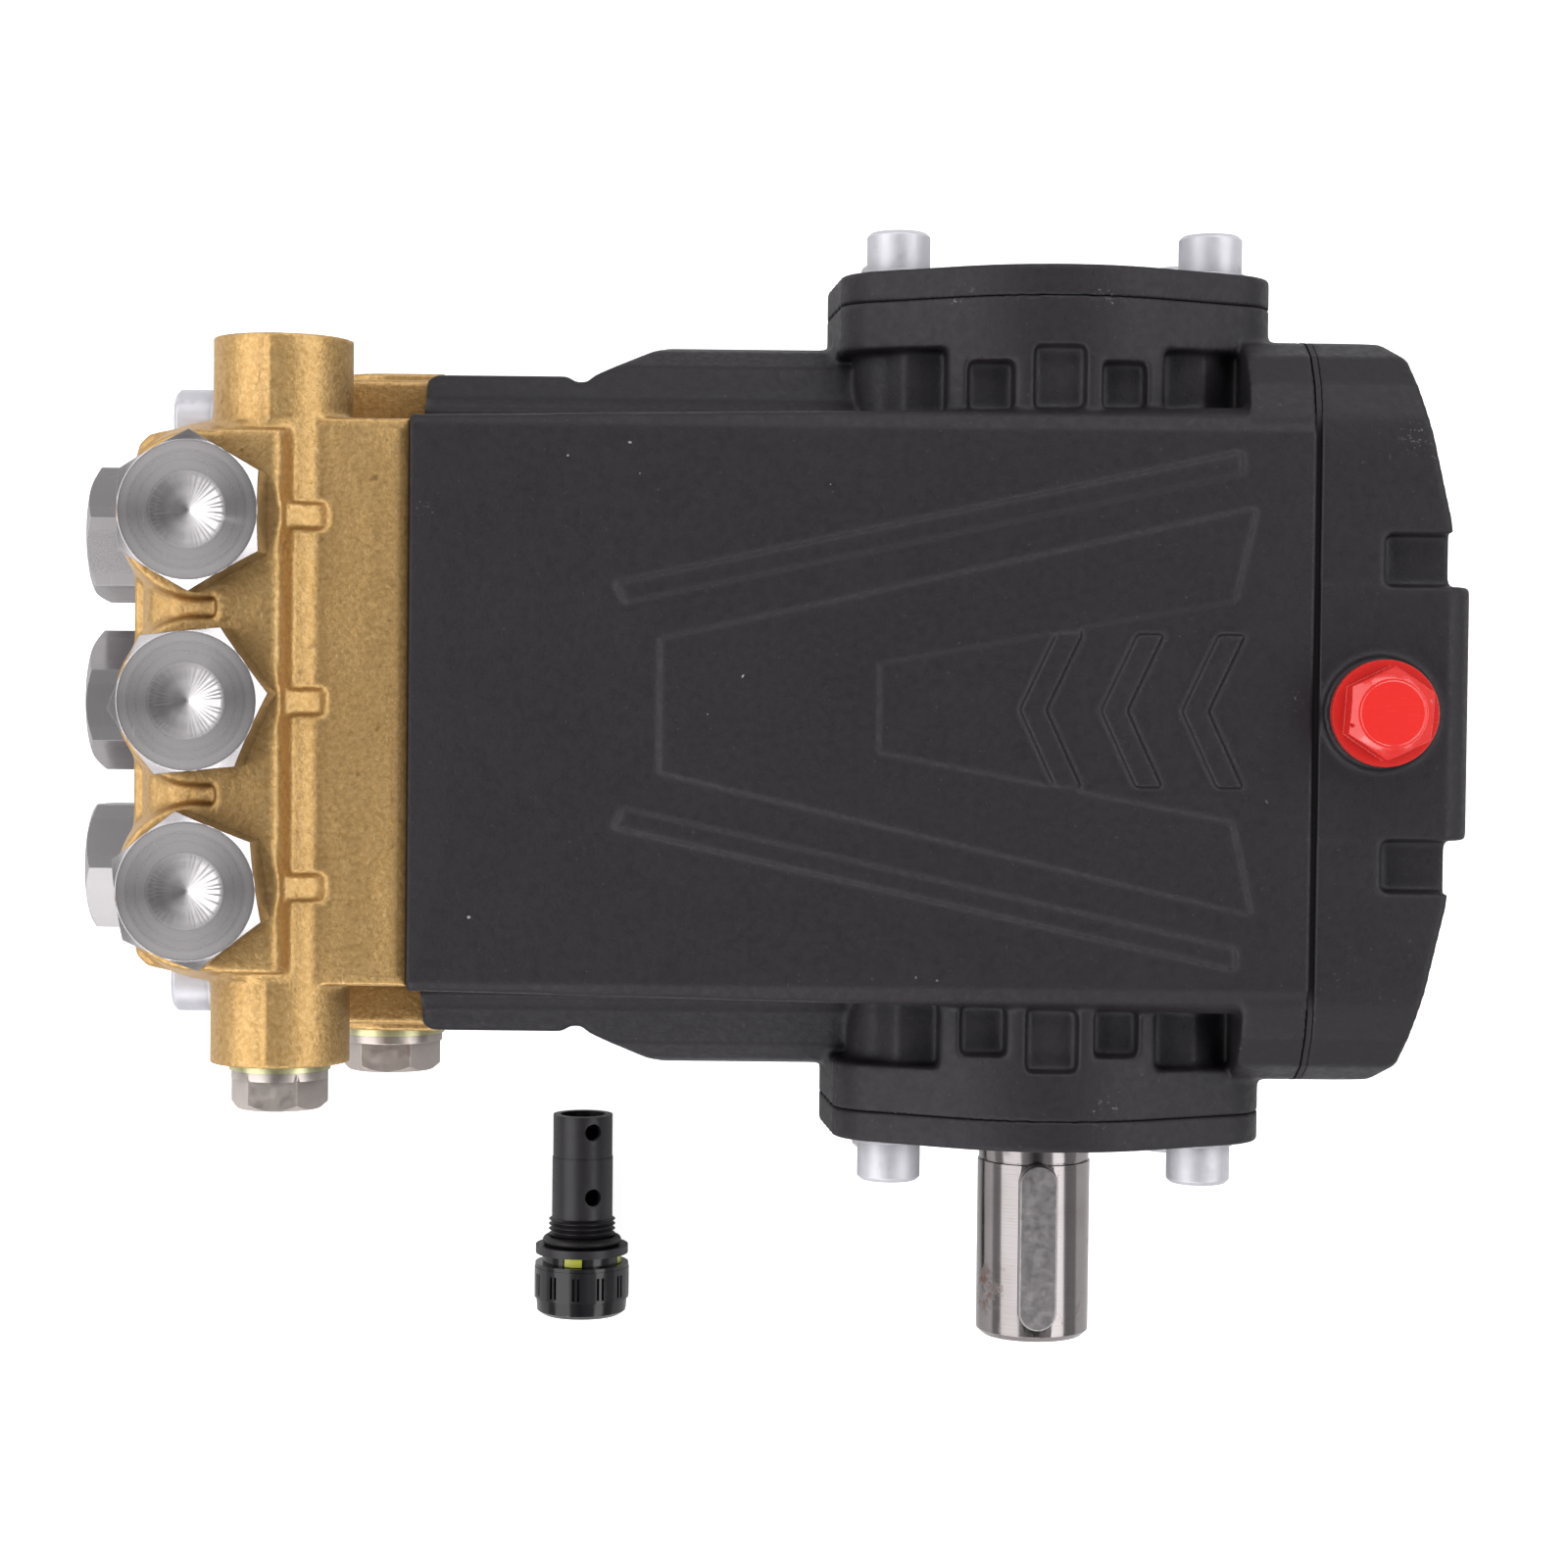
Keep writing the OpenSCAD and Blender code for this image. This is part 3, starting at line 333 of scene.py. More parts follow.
def turned_cap(name, axes, centre):
    """Turned steel about each row's valve axis. The two axes are Y and one more,
    on which the valves' axes lie at centre (mm in the row frame)."""
    mat = Material(name)
    sides = mat.split(mat.place)
    offsets = []
    for axis in axes:
        if axis == 1:
            row = mat.math("ROUND", mat.math("DIVIDE", sides[1], PITCH * MM))
            offsets.append(mat.math("SUBTRACT", sides[1], mat.mul(row, PITCH * MM)))
        else:
            offsets.append(mat.math("SUBTRACT", sides[axis], centre * MM))
    first, second = offsets
    square = mat.math("ADD", mat.mul(first, first), mat.mul(second, second))
    radius = mat.math("SQRT", square)
    rings = mat.noise(RING_SCALE, detail=2, rough=0.6, vector=mat.along(radius))
    coarse = mat.noise(RING_SCALE * 0.18, detail=2, rough=0.6, vector=mat.along(radius))
    fine = mat.noise(scale=1200, detail=2)
    low, high = (0.47, 0.445, 0.45), (0.56, 0.535, 0.54)
    color = mat.mix(rings, low, high)
    color = mat.over(color, high, where=coarse, amount=0.3)
    dull = mat.step(mat.noise(scale=40, detail=3), start=0.4, end=0.75, after=0.22)
    color = mat.over(color, scaled(low, 0.7), where=dull)
    # the dished middle, out to share 0.5, is painted lighter as a painted reflection and is cut a
    # little smoother, with a painted dark line of shade round its edge
    share = mat.mul(radius, 0.5 / (DISH_RADIUS * MM))
    inside = mat.step(share, start=0.49, end=0.505, before=1.0, after=0.0)
    dish_edge_shade = mat.ramp(share, [(0.47, 0.0), (0.495, 1.0), (0.515, 0.0)])
    color = mat.over(color, (0.78, 0.75, 0.755), where=inside, amount=0.55)
    color = mat.over(color, (0.2, 0.19, 0.19), where=dish_edge_shade, amount=0.35)
    scratches = mat.noise(scale=150, detail=3, rough=0.6, stretch=(5, 0.7, 1))
    scratches = mat.step(scratches, start=0.66, end=0.7)
    color = mat.over(color, (0.8, 0.78, 0.77), where=scratches, amount=0.25)
    color = mat.over(color, (0.85, 0.84, 0.83), where=mat.edges(end=0.66), amount=0.5)
    # the corners and flats outside the faced ring are painted darker, a painted shade that tones
    # down their reflection
    painted_corner_shade = mat.step(share, start=0.84, end=0.865)
    color = mat.over(color, (0.3, 0.285, 0.295), where=painted_corner_shade, amount=0.55)
    rough = mat.step(coarse, start=0.3, end=0.7, before=0.25, after=0.31)
    return mat.finish(
        color=color,
        metal=1.0,
        rough=mat.math("SUBTRACT", rough, mat.mul(inside, 0.03)),
        normal=mat.bumps((rings, 0.12, 0.00004), (fine, 0.05, 0.00004)),
        aniso=0.88,
        tangent=mat.tangent(first, second, axes),
    )


def shaft_steel():
    mat = Material("ground_shaft_steel")
    x, y, z = mat.split(mat.place)
    rings = mat.noise(scale=3000, detail=2, rough=0.6, vector=mat.along(y))
    color = mat.mix(rings, (0.21, 0.19, 0.19), (0.33, 0.305, 0.305))
    dull = mat.step(mat.noise(scale=60, detail=4), start=0.45, end=0.8, after=0.45)
    color = mat.over(color, (0.16, 0.138, 0.13), where=dull)
    # a little rust, growing towards the free end at -Y from 105 mm out, and one stain
    near_end = mat.step(mat.math("MULTIPLY_ADD", y, -20.0, -2.0), start=0.1, end=0.55)
    rust = mat.step(mat.noise(scale=210, detail=5, rough=0.7), start=0.56, end=0.68)
    rust = mat.mul(rust, near_end)
    rust = mat.mul(rust, mat.step(mat.noise(scale=45, detail=2), start=0.45, end=0.6))
    blotches = mat.step(mat.noise(scale=330, detail=5, rough=0.75), start=0.46, end=0.58)
    stain = mat.mul(mat.spot(x=-10.4, y=-123.5, z=5.5, radius=6.0), blotches)
    rust = mat.math("MAXIMUM", rust, stain)
    color = mat.over(color, (0.12, 0.05, 0.028), where=rust, amount=0.85)
    rust_rough = mat.math("MULTIPLY_ADD", rust, 0.45, 0.06)
    off_x = mat.math("SUBTRACT", x, SHAFT_X * MM)
    off_z = mat.math("SUBTRACT", z, SHAFT_Z * MM)
    return mat.finish(
        color=color,
        metal=mat.math("SUBTRACT", 1.0, mat.mul(rust, 0.6)),
        rough=mat.math("ADD", mat.mul(rings, 0.16), rust_rough),
        normal=mat.bumps((rings, 0.25, 0.00005), (rust, 0.3, 0.0001)),
        aniso=0.3,
        tangent=mat.tangent(off_x, off_z, axes=(0, 2)),
    )


def metal(name, low, high, rough, bump=0.25, metallic=1.0, spots=None):
    """Plain metal between two colours and two roughnesses, perhaps with spots of a third colour."""
    mat = Material(name)
    grain = mat.noise(scale=500, detail=3, rough=0.6)
    fine = mat.noise(scale=1500, detail=2)
    color = mat.mix(grain, low, high)
    dull = mat.step(mat.noise(scale=55, detail=4), start=0.45, end=0.8, after=0.4)
    color = mat.over(color, scaled(low, 0.6), where=dull)
    if spots:
        spotted = mat.step(mat.noise(scale=150, detail=3), start=0.62, end=0.72, after=0.8)
        color = mat.over(color, spots, where=spotted)
    color = mat.over(color, scaled(high, 1.25), where=mat.edges(end=0.66), amount=0.4)
    # painted shade in grooves and corners, from ambient occlusion
    color = mat.mix(mat.hollow(reach=0.004), scaled(low, 0.3), color)
    return mat.finish(
        color=color,
        metal=metallic,
        rough=mat.step(grain, start=0.3, end=0.7, before=rough[0], after=rough[1]),
        normal=mat.bumps((fine, bump, 0.00008), (grain, bump, 0.0001)),
    )


def plastic(name, low, high, rough, wear, wear_amount=0.12, coat=0.0, spec=0.5, bump=0.12,
            sub=0.0, grain=900):
    """Plastic, rubber and the like, between two colours, with a wear colour on the edges."""
    mat = Material(name)
    scratches = mat.noise(scale=240, detail=4, rough=0.7, stretch=(1, 6, 1))
    color = mat.mix(mat.noise(scale=60, detail=3), low, high)
    color = mat.over(color, wear, where=mat.edges(end=0.66), amount=wear_amount)
    # painted shade in grooves and corners, from ambient occlusion
    color = mat.mix(mat.hollow(reach=0.003), scaled(low, 0.45), color)
    fine = mat.noise(scale=grain, detail=2)
    return mat.finish(
        color=color,
        metal=0.0,
        rough=mat.step(scratches, start=0.35, end=0.7, before=rough[0], after=rough[1]),
        normal=mat.bumps((fine, bump, 0.00006), (scratches, bump * 0.6, 0.00008)),
        coat=coat,
        spec=spec,
        sub=sub,
    )


def clear_glass():
    mat = Material("sight_glass_clear")
    patches = mat.noise(scale=90, detail=3)
    return mat.finish(
        color=mat.mix(patches, (0.75, 0.82, 0.74), (0.9, 0.94, 0.88)),
        rough=mat.step(patches, start=0.3, end=0.7, before=0.04, after=0.12),
        normal=mat.bumps((mat.noise(scale=300, detail=2), 0.08, 0.0001)),
        trans=0.75,
        ior=1.5,
    )


BLACK = black_casting()
BRASS = cast_brass()
CAP_TOP = turned_cap("turned_cap_top", axes=(0, 1), centre=SHAFT_X + DELIVERY_X)
CAP_FRONT = turned_cap("turned_cap_front", axes=(1, 2), centre=SHAFT_Z + SUCTION_Z)
SHAFT = shaft_steel()
KEY = metal("key_steel", low=(0.46, 0.43, 0.435), high=(0.56, 0.53, 0.535),
            rough=(0.3, 0.42), bump=0.1, spots=(0.42, 0.38, 0.38))
ZINC = metal("zinc_plate", low=(0.55, 0.545, 0.58), high=(0.68, 0.675, 0.715),
             rough=(0.48, 0.6), metallic=0.75, bump=0.35, spots=(0.46, 0.455, 0.485))
NICKEL = metal("nickel_plate", low=(0.50, 0.435, 0.40), high=(0.62, 0.555, 0.52),
               rough=(0.3, 0.42), bump=0.12, spots=(0.46, 0.39, 0.35))
PASSIVATE = metal("yellow_passivate", low=(0.5, 0.48, 0.24), high=(0.72, 0.7, 0.42),
                  rough=(0.28, 0.42))
# in the file's palette, though no piece wears it
metal("bright_washer", low=(0.6, 0.58, 0.54), high=(0.8, 0.78, 0.74), rough=(0.18, 0.3))
GROUND = metal("ground_steel", low=(0.42, 0.41, 0.4), high=(0.6, 0.59, 0.58), rough=(0.18, 0.3))
STAINLESS = metal("stainless", low=(0.45, 0.45, 0.45), high=(0.62, 0.62, 0.61),
                  rough=(0.24, 0.36))
WIRE = metal("spring_wire", low=(0.4, 0.4, 0.42), high=(0.6, 0.6, 0.62), rough=(0.25, 0.36))
ALLOY = metal("rod_alloy", low=(0.45, 0.46, 0.48), high=(0.62, 0.63, 0.65),
              rough=(0.38, 0.55), bump=0.5)
BRONZE = metal("bearing_bronze", low=(0.42, 0.24, 0.1), high=(0.6, 0.38, 0.17),
               rough=(0.25, 0.4))
TURNED_BRASS = metal("turned_brass", low=(0.56, 0.38, 0.14), high=(0.75, 0.55, 0.25),
                     rough=(0.22, 0.36))
PAPER = plastic("gasket_paper", low=(0.018, 0.016, 0.018), high=(0.028, 0.025, 0.028),
                rough=(0.6, 0.75), spec=0.2, bump=0.3, grain=1800, wear=(0.05, 0.045, 0.045))
CERAMIC = plastic("white_ceramic", low=(0.8, 0.78, 0.72), high=(0.88, 0.86, 0.81),
                  rough=(0.08, 0.18), coat=0.4, bump=0.05, wear=(0.9, 0.9, 0.88))
RED = plastic("red_plug_plastic", low=(0.62, 0.016, 0.013), high=(0.72, 0.026, 0.02),
              rough=(0.2, 0.3), coat=0.35, bump=0.02, sub=0.05,
              wear=(0.95, 0.2, 0.16), wear_amount=0.2)
GREY = plastic("breather_body_plastic", low=(0.011, 0.0095, 0.012), high=(0.019, 0.0165, 0.02),
               rough=(0.34, 0.46), bump=0.05, spec=0.4, wear=(0.05, 0.047, 0.052))
GLOSS = plastic("breather_cap_plastic", low=(0.0035, 0.003, 0.0038), high=(0.007, 0.006, 0.0075),
                rough=(0.13, 0.2), spec=0.42, bump=0.02,
                wear=(0.08, 0.078, 0.085), wear_amount=0.1)
LIME = plastic("lime_insert", low=(0.62, 0.66, 0.03), high=(0.75, 0.78, 0.07),
               rough=(0.3, 0.42), wear=(0.9, 0.92, 0.4))
RUBBER = plastic("nitrile_rubber", low=(0.011, 0.011, 0.012), high=(0.02, 0.02, 0.021),
                 rough=(0.42, 0.6), spec=0.4, wear=(0.06, 0.06, 0.06))
FABRIC = plastic("fabric_seal", low=(0.24, 0.13, 0.05), high=(0.34, 0.2, 0.09),
                 rough=(0.6, 0.75), spec=0.3, bump=0.5, grain=2200, wear=(0.4, 0.26, 0.14))
CAGE_WHITE = plastic("valve_cage_plastic", low=(0.72, 0.71, 0.66), high=(0.82, 0.81, 0.77),
                     rough=(0.35, 0.5), wear=(0.9, 0.9, 0.88))
GLASS = clear_glass()


# ------------------------------------------------------------------ mesh tools
def from_bm(name, bm):
    mesh = bpy.data.meshes.new(name)
    bm.to_mesh(mesh)
    bm.free()
    obj = bpy.data.objects.new(name, mesh)
    bpy.context.scene.collection.objects.link(obj)
    return obj


def copy_bm(node):
    bm = bmesh.new()
    bm.from_mesh(NODES[node].data)
    bmesh.ops.remove_doubles(bm, verts=bm.verts, dist=2e-6)
    return bm


def set_material(obj, material):
    obj.data.materials.clear()
    obj.data.materials.append(material)


def bake_modifiers(obj):
    """Replace the object's mesh by its evaluated mesh."""
    bpy.context.view_layer.update()
    depsgraph = bpy.context.evaluated_depsgraph_get()
    mesh = bpy.data.meshes.new_from_object(obj.evaluated_get(depsgraph))
    obj.modifiers.clear()
    old = obj.data
    obj.data = mesh
    bpy.data.meshes.remove(old)


def modify(obj, kind, **settings):
    """Run one modifier and bake it."""
    modifier = obj.modifiers.new(kind.lower(), kind)
    for key, value in settings.items():
        setattr(modifier, key, value)
    bake_modifiers(obj)


def smooth_faces(obj):
    obj.data.polygons.foreach_set("use_smooth", [True] * len(obj.data.polygons))


def shade(obj, angle=35):
    """Smooth shading with edges sharp beyond an angle in degrees."""
    smooth_faces(obj)
    obj.data.set_sharp_from_angle(angle=math.radians(angle))
    obj.data.update()


def stand_in(obj, node):
    """The object takes the place and body of a CAD node, which is hidden."""
    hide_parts(node)
    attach(obj, BODY[node])


def piece(name, bm, material, body):
    """A piece built from nothing."""
    obj = from_bm(name, bm)
    set_material(obj, material)
    shade(obj)
    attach(obj, body)
    return obj


def crisp(node, name, width, segments, material, angle=30, sharp=25):
    """A machined piece: the CAD node with flat faces joined, small bevels (width in mm)
    and clean shading. Edges beyond angle are bevelled, beyond sharp shaded sharp (degrees)."""
    bm = copy_bm(node)
    bmesh.ops.dissolve_limit(
        bm, angle_limit=math.radians(0.2), verts=bm.verts, edges=bm.edges, delimit={"NORMAL"}
    )
    obj = from_bm(name, bm)
    set_material(obj, material)
    modify(obj, "BEVEL", width=width * MM, segments=segments, limit_method="ANGLE",
           angle_limit=math.radians(angle), use_clamp_overlap=True)
    shade(obj, sharp)
    modify(obj, "WEIGHTED_NORMAL", keep_sharp=True, weight=60)
    stand_in(obj, node)


WEIGHT_LEVELS = 8


def cast(node, name, material, weight, voxel, smooth, faces, extra=()):
    """A casting: the CAD node and extra closed shapes fused by voxels (mm), then relaxed so
    that edges and corners are rounded, and thinned to a number of triangles.
    weight(x, y, z) says how much each place is relaxed, 0 to 1, from arrays in mm
    from the crankshaft's axis."""
    bm = copy_bm(node)
    for shape in extra:
        mesh = bpy.data.meshes.new("extra")
        shape.to_mesh(mesh)
        bm.from_mesh(mesh)
        bpy.data.meshes.remove(mesh)
        shape.free()
    bmesh.ops.triangulate(bm, faces=bm.faces)
    obj = from_bm(name, bm)
    set_material(obj, material)
    modify(obj, "REMESH", mode="VOXEL", voxel_size=(voxel * 1.0) * MM,
           adaptivity=0.0, use_smooth_shade=True)
    places = np.empty(len(obj.data.vertices) * 3)
    obj.data.vertices.foreach_get("co", places)
    places = places.reshape(-1, 3) / MM
    weights = weight(places[:, 0] - SHAFT_X, places[:, 1], places[:, 2] - SHAFT_Z)
    group = obj.vertex_groups.new(name="relax")
    levels = np.round(weights * WEIGHT_LEVELS).astype(int)
    for k in range(1, WEIGHT_LEVELS + 1):
        ids = np.nonzero(levels == k)[0]
        if len(ids):
            group.add(ids.tolist(), k / WEIGHT_LEVELS, "REPLACE")
    modify(obj, "SMOOTH", factor=0.5, vertex_group="relax",
           iterations=smooth)
    obj.vertex_groups.clear()
    triangles = len(obj.data.polygons) * 2
    if triangles > faces:
        modify(obj, "DECIMATE", ratio=faces / triangles)
    smooth_faces(obj)
    stand_in(obj, node)


# ------------------------------------------------------------------ castings
# Relaxing weights. Limits are in mm from the crankshaft's axis; 0 keeps a place as modelled.
def fade(gap, start, width=2.0, least=0.0):
    return np.clip((gap - start) / width, least, 1)


def within(first, second, radius):
    """True inside a circle, from offsets along two axes."""
    return first ** 2 + second ** 2 < radius ** 2


def crankcase_weight(x, y, z):
    weight = np.ones(len(x))
    inner = (abs(y) < 57.5) & (z > -54.3) & (z < 42.3) & (x > -128.9)
    bore = within(x, z, 34.6) & (abs(y) > 50)
    weight[inner | bore] = 0
    weight[(x < -127.9) & (abs(y) < 54)] = 0  # middle of the joint face
    weight[(z > 47.4) & (abs(y) < 53) & (x < 39) & (x > -92)] = 0.25  # top
    # the end faces in X and Y stay flat
    for gap in (abs(x - 50), abs(x - JOINT_X), abs(abs(y) - 82)):
        weight = np.minimum(weight, fade(gap, start=0.9))
    return weight


def rear_cover_weight(x, y, z):
    weight = fade(x, start=51.9)
    inner_height = (z > -42.6) & (z < 20.6)
    weight[(abs(y) < 50.6) & inner_height & (x < 72.4)] = 0
    weight[(abs(y) < 56.6) & inner_height & (x < 69.3)] = 0
    weight[within(y, z + 5, 14) & (x > 70)] = 0  # round the middle of the outer face
    return weight


def bearing_cover_weight(x, y, z):
    weight = fade(abs(y), start=82.9)
    weight[within(x, z, 19)] = 0
    return weight


def manifold_weight(x, y, z):
    weight = np.ones(len(x))
    off_row = y - PITCH * np.clip(np.round(y / PITCH), -1, 1)
    # bores on the plunger, delivery and suction axes
    weight[within(off_row, z, 15.4) & (x > -181.5) & (abs(y) < 53)] = 0
    weight[within(x - DELIVERY_X, off_row, 12.6) & (z < 52.6)] = 0
    weight[within(z - SUCTION_Z, off_row, 12.6) & (x > -195.2) & (abs(y) < 53)] = 0
    # the two bores along Y
    weight[within(x + 156, z - 35, 7.9) | within(x + 142, z + 30, 9.7)] = 0
    # machined ends: valve seats, port ends and the joint face stay crisp
    for plane, side in ((JOINT_X, x), (-196, x), (72.7, abs(y)), (72.0, abs(y))):
        weight = np.minimum(weight, fade(abs(side - plane), start=0.5, width=1.2, least=0.06))
    # the ribs near both ends
    weight[(abs(y) > 54) & (abs(x + 156.2) < 1.3) & (z > 47.8)] = 0.15
    # flat under each delivery cap, softly rounded further out
    under_cap = (abs(z - 53.5) < 0.9) & within(x - DELIVERY_X, off_row, 15.6)
    return np.minimum(weight, np.where(under_cap, 0.05, 1.0))


def box_bm(*spans):
    """A box from its (low, high) span in mm along X, Y and Z of the row frame."""
    bm = bmesh.new()
    bmesh.ops.create_cube(bm, size=1.0)
    for vert in bm.verts:
        sides = [(lo + hi) / 2 + c * (hi - lo) for c, (lo, hi) in zip(vert.co, spans)]
        vert.co = Vector(sides) * MM
    return bm


# a narrow rib along Y on top of the manifold near each end
RIBS = [
    box_bm(
        (SHAFT_X - 156.6, SHAFT_X - 156.0),
        (side * 64.0 - 8.4, side * 64.0 + 8.4),
        (SHAFT_Z + 48.4, SHAFT_Z + 49.25),
    )
    for side in (-1, 1)
]
cast("crankcase", "crankcase_casting", BLACK, crankcase_weight,
     voxel=0.62, smooth=10, faces=190000)
cast("rear_cover", "rear_cover_casting", BLACK, rear_cover_weight,
     voxel=0.62, smooth=12, faces=150000)
for side in ("drive", "blind"):
    cast(f"{side}_side_bearing_cover", f"{side}_side_cover_casting", BLACK,
         bearing_cover_weight, voxel=0.55, smooth=8, faces=90000)
cast("manifold", "manifold_casting", BRASS, manifold_weight,
     voxel=0.55, smooth=12, faces=190000, extra=RIBS)

# ------------------------------------------------------------------ machined pieces
for kind, material in (("delivery", CAP_TOP), ("suction", CAP_FRONT)):
    crisp(f"{kind}_valve_caps", f"{kind}_caps_turned", width=0.25, segments=3,
          material=material, angle=20, sharp=8)

# CAD node, object name, bevel width in mm, bevel segments, material
MACHINED = [
    ("bearing_cover_screws", "bearing_cover_cap_screws", 0.5, 3, ZINC),
    ("manifold_screws", "manifold_cap_screws", 0.5, 3, ZINC),
    ("rear_cover_screws", "rear_cover_cap_screws", 0.4, 2, ZINC),
    ("screw_washers", "plain_washers", 0.2, 2, ZINC),
    ("delivery_port_plug", "delivery_plug_nickel", 0.4, 2, NICKEL),
    ("suction_port_plug", "suction_plug_nickel", 0.4, 2, NICKEL),
    ("oil_drain_plug", "drain_plug_nickel", 0.4, 2, NICKEL),
    ("filler_plug", "filler_plug_red", 0.6, 3, RED),
    ("breather_cap", "breather_cap_moulded", 0.25, 2, GLOSS),
    ("breather_body", "breather_body_moulded", 0.12, 2, GREY),
    ("crankshaft", "crankshaft_ground", 0.3, 2, SHAFT),
    ("shaft_key", "shaft_key_steel", 0.5, 3, KEY),
]
for row in MACHINED:
    crisp(*row)

# ------------------------------------------------------------------ CAD nodes kept as they are
KEPT = {
    "rear_cover_gasket": PAPER, "bearing_cover_o_rings": RUBBER, "shaft_oil_seal": RUBBER,
    "bearing_outer_races": GROUND, "bearing_inner_races": GROUND, "bearing_rollers": GROUND,
    "bearing_cages": BRONZE, "valve_cap_o_rings": RUBBER, "valve_seats": STAINLESS,
    "valve_cages": CAGE_WHITE, "high_pressure_seals": FABRIC, "low_pressure_seals": RUBBER,
    "seal_carriers": TURNED_BRASS, "crosshead_oil_seals": RUBBER, "plug_washers": PASSIVATE,
    "sight_glass": GLASS, "filler_plug_o_ring": RUBBER, "breather_o_ring": RUBBER,
}
KEPT_PER_ROW = {
    "crank_bush": BRONZE, "con_rod": ALLOY, "wrist_pin": GROUND, "crosshead": STAINLESS,
    "plunger": CERAMIC, "delivery_valve": STAINLESS, "suction_valve": STAINLESS,
}
for i in (1, 2, 3):
    for node, material in KEPT_PER_ROW.items():
        KEPT[f"{node}_{i}"] = material
for node, material in KEPT.items():
    set_material(NODES[node], material)
    shade(NODES[node])

# ------------------------------------------------------------------ springs, one wire each
COIL_RADIUS = 5.4
WIRE_RADIUS = 0.55
SPRING_BASE = 8.75  # coil heights are measured from the two places below
SPRING_GAP = 0.05  # from the coil's top to the fixed end it is squashed against
DELIVERY_SPRING_Z = 16.02
SUCTION_SPRING_X = -166.02


def coil_bm(top, turns, per_turn=28, sides=10):
    """A spring wire about Z in mm, its pitch tighter towards both ends."""
    bm = bmesh.new()
    steps = turns * per_turn
    up = Vector((0, 0, 1))
    loops = []
    for i in range(steps + 1):
        t = i / steps
        turn = 2 * math.pi * turns * t
        ease = 0.5 - 0.5 * math.cos(math.pi * t)
        climb = top - SPRING_BASE - 2 * WIRE_RADIUS
        height = SPRING_BASE + WIRE_RADIUS + climb * (0.35 * ease + 0.65 * t)
        centre = Vector((COIL_RADIUS * math.cos(turn), COIL_RADIUS * math.sin(turn), height))
        out = Vector((math.cos(turn), math.sin(turn), 0))
        loop = []
        for j in range(sides):
            angle = 2 * math.pi * j / sides
            offset_out = out * (WIRE_RADIUS * math.cos(angle))
            offset_up = up * (WIRE_RADIUS * math.sin(angle))
            loop.append(bm.verts.new(centre + offset_out + offset_up))
        if loops:
            last = loops[-1]
            for j in range(sides):
                k = (j + 1) % sides
                bm.faces.new((last[j], last[k], loop[k], loop[j]))
        loops.append(loop)
    bm.faces.new(loops[0])
    bm.faces.new(loops[-1])
    bmesh.ops.recalc_face_normals(bm, faces=bm.faces)
    return bm


def delivery_place(row, x, y, z):
    """Stands the coil up along +Z."""
    return at(DELIVERY_X + x, row + y, DELIVERY_SPRING_Z + z)


def suction_place(row, x, y, z):
    """Lays the coil down along -X."""
    return at(SUCTION_SPRING_X - z, row + y, SUCTION_Z + x)


# kind, top of the coil in mm, turns, length kept when squashed, squash axis, placing function
SPRINGS = [
    ("delivery", 26.7, 5, 0.861, (0, 0, 1), delivery_place),
    ("suction", 19.3, 4, 0.764, (1, 0, 0), suction_place),
]
made = {"delivery": [], "suction": []}
for i, row in enumerate(ROWS, start=1):
    for kind, top, turns, keep, axis, place in SPRINGS:
        bm = coil_bm(top, turns)
        for vert in bm.verts:
            vert.co = place(row, *vert.co)
        if kind == "suction":
            # the coil has been turned, so its normals are worked out again
            bmesh.ops.recalc_face_normals(bm, faces=bm.faces)
        spring = piece(f"{kind}_spring_{i}", bm, WIRE, "pump_body")
        anchor = place(row, 0.0, 0.0, top + SPRING_GAP)
        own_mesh(spring)
        made[kind].append(spring)
for kind, springs in made.items():
    for spring in springs:
        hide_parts(f"{kind}_valve_springs")

# ------------------------------------------------------------------ breather insert
BREATHER_X, BREATHER_Y, BREATHER_Z = -101.1, -96.6, -63.8  # the breather's axis lies along Y
INSERT_DEPTHS = (32.85, 34.86)  # towards -Y from BREATHER_Y
INSERT_RADII = (8.5, 9.28)
INSERT_POINTS = 7


def lime_insert():
    """Four curved pads, seen through the windows between the breather's flange and cap."""
    bm = bmesh.new()
    for k in range(4):
        middle = math.pi / 2 * k + math.radians(9)
        verts = {}
        for d, depth in enumerate(INSERT_DEPTHS):
            for r, radius in enumerate(INSERT_RADII):
                for j in range(INSERT_POINTS):
                    angle = middle + math.radians(-13 + 26 * j / (INSERT_POINTS - 1))
                    verts[d, r, j] = bm.verts.new(at(
                        BREATHER_X + radius * math.cos(angle),
                        BREATHER_Y - depth,
                        BREATHER_Z + radius * math.sin(angle),
                    ))

        def face(*keys):
            bm.faces.new([verts[key] for key in keys])

        for j in range(INSERT_POINTS - 1):
            n = j + 1
            face((0, 0, j), (0, 0, n), (0, 1, n), (0, 1, j))
            face((1, 0, j), (1, 1, j), (1, 1, n), (1, 0, n))
            face((0, 1, j), (0, 1, n), (1, 1, n), (1, 1, j))
            face((0, 0, j), (1, 0, j), (1, 0, n), (0, 0, n))
        for j in (0, INSERT_POINTS - 1):
            face((0, 0, j), (0, 1, j), (1, 1, j), (1, 0, j))
    bmesh.ops.recalc_face_normals(bm, faces=bm.faces)
    piece("breather_lime_insert", bm, LIME, "vented_breather_plug")


lime_insert()


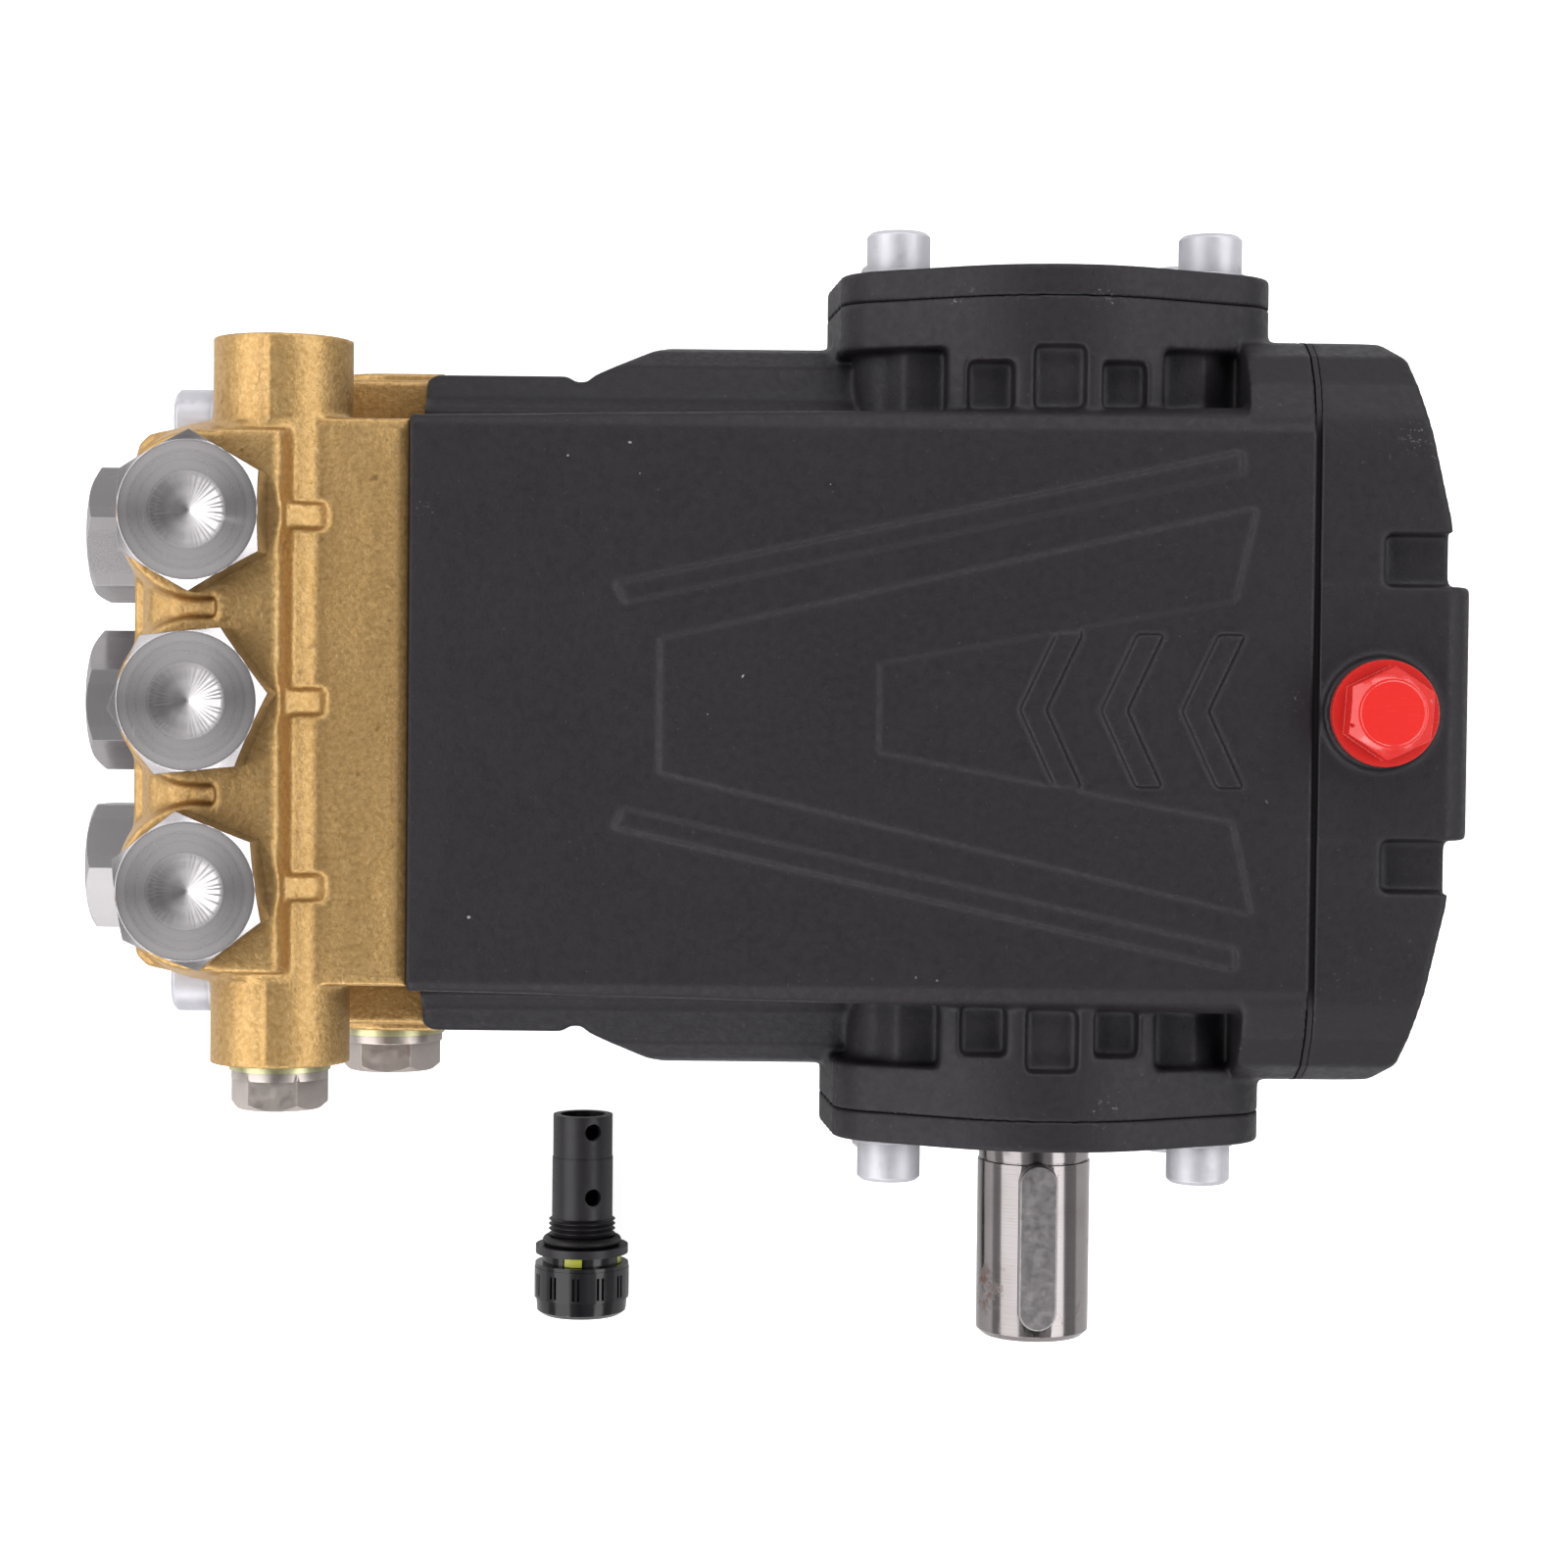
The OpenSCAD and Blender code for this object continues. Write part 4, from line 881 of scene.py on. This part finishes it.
# ------------------------------------------------------------------ floor
def studio_floor():
    """A pale floor 0.4 mm under the pump, which glows for the camera only."""
    bm = bmesh.new()
    bmesh.ops.create_grid(bm, x_segments=1, y_segments=1, size=3.0)
    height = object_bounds()[0][2] - 0.0004
    for vert in bm.verts:
        vert.co.z = height
    floor = from_bm("studio_floor", bm)
    mat = Material("studio_floor_white")
    patches = mat.noise(scale=2.0, detail=2)
    color = mat.mix(patches, (0.72, 0.72, 0.725), (0.76, 0.76, 0.765))
    mat.finish(color=color, rough=0.9, spec=0.1)
    mat.shader.inputs["Emission Color"].default_value = (1, 1, 1, 1)
    seen = mat.node("ShaderNodeLightPath").outputs["Is Camera Ray"]
    mat.link(mat.mul(seen, 0.75), mat.shader.inputs["Emission Strength"])
    set_material(floor, mat.material)
    floor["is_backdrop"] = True


studio_floor()

# ------------------------------------------------------------------ lights
LIGHT_TARGET = (-50, 0, 0)


def soft_light(name, place, width, length, power, along):
    """A rectangle aimed at the pump, its length lying along a given direction.
    The place is in mm from the crankshaft's axis, the sizes in m, the power in W."""
    data = bpy.data.lights.new(name, "AREA")
    data.shape = "RECTANGLE"
    data.size, data.size_y = width, length
    data.energy = power
    light = bpy.data.objects.new(name, data)
    bpy.context.scene.collection.objects.link(light)
    light.location = at(*place)
    back = -(at(*LIGHT_TARGET) - light.location).normalized()
    across = Vector(along).cross(back).normalized()
    upward = back.cross(across)
    light.rotation_euler = Matrix((across, upward, back)).transposed().to_euler()
    light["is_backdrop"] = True


ALONG_X, ALONG_Y = (1, 0, 0), (0, 1, 0)
soft_light("soft_left", (-850, 0, 660), width=0.80, length=2.6, power=14.5, along=ALONG_Y)
soft_light("soft_right", (800, 0, 700), width=0.50, length=2.6, power=11.0, along=ALONG_Y)
soft_light("soft_back", (100, 950, 700), width=0.35, length=1.0, power=4.5, along=ALONG_X)
soft_light("soft_front", (-250, -1000, 700), width=0.35, length=1.0, power=5.0, along=ALONG_X)

# ------------------------------------------------------------------ world
# height of the direction and its colour: the brightest band is well up, the zenith is dark
SKY = [
    (0.0, (0.34, 0.34, 0.35)),
    *((height, (grey, grey, grey * 1.02))
      for height, grey in ((0.45, 0.22), (0.78, 0.3), (0.93, 0.42), (0.965, 0.2))),
    (1.0, (0.16, 0.16, 0.165)),
]
# brighter towards -X and +X than towards -Y and +Y, so turned faces show fans of light
FAN = {"From Min": 0.0, "From Max": 0.45, "To Min": 0.45, "To Max": 1.35}


def studio_world():
    world = bpy.data.worlds.new("studio")
    world.use_nodes = True
    bpy.context.scene.world = world
    graph = Graph(world.node_tree)
    output = graph.node("ShaderNodeOutputWorld")
    lighting = graph.node("ShaderNodeBackground")
    x, _, z = graph.split(graph.node("ShaderNodeTexCoord").outputs["Generated"])
    graph.link(graph.ramp(z, SKY), lighting.inputs[0])
    sideways = graph.node("ShaderNodeMath", operation="ABSOLUTE")
    graph.link(x, sideways.inputs[0])
    fan = graph.node("ShaderNodeMapRange")
    for key, value in FAN.items():
        fan.inputs[key].default_value = value
    graph.link(sideways.outputs[0], fan.inputs["Value"])
    graph.link(fan.outputs["Result"], lighting.inputs[1])
    # the backdrop seen straight on is as pale as the floor
    backdrop = graph.node("ShaderNodeBackground")
    backdrop.inputs["Color"].default_value = (0.97, 0.97, 0.975, 1)
    backdrop.inputs["Strength"].default_value = 1.0
    choice = graph.node("ShaderNodeMixShader")
    camera_ray = graph.node("ShaderNodeLightPath").outputs["Is Camera Ray"]
    graph.link(camera_ray, choice.inputs[0])
    graph.link(lighting.outputs[0], choice.inputs[1])
    graph.link(backdrop.outputs[0], choice.inputs[2])
    graph.link(choice.outputs[0], output.inputs[0])


studio_world()

scene = bpy.context.scene
scene.view_settings.view_transform = "Standard"
scene.view_settings.look = "None"

# ------------------------------------------------------------------ camera
CAMERA_PLACE = (-54.6, 0.0, 630.0)
# looks down, leaning a little towards -Y, and turned a little about Z
CAMERA_LEAN = 0.026125878438  # radians
CAMERA_TURN = math.radians(0.6)

lens = bpy.data.cameras.new("camera")
lens.sensor_width = 36.0
lens.lens = 67.59
lens.clip_start, lens.clip_end = 0.01, 10
camera = bpy.data.objects.new("camera", lens)
scene.collection.objects.link(camera)
camera.location = at(*CAMERA_PLACE)
turn = Matrix.Rotation(CAMERA_TURN, 4, "Z")
lean = Matrix.Rotation(-CAMERA_LEAN, 4, "X")
camera.rotation_euler = (turn @ lean).to_euler()
scene.camera = camera
camera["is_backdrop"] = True
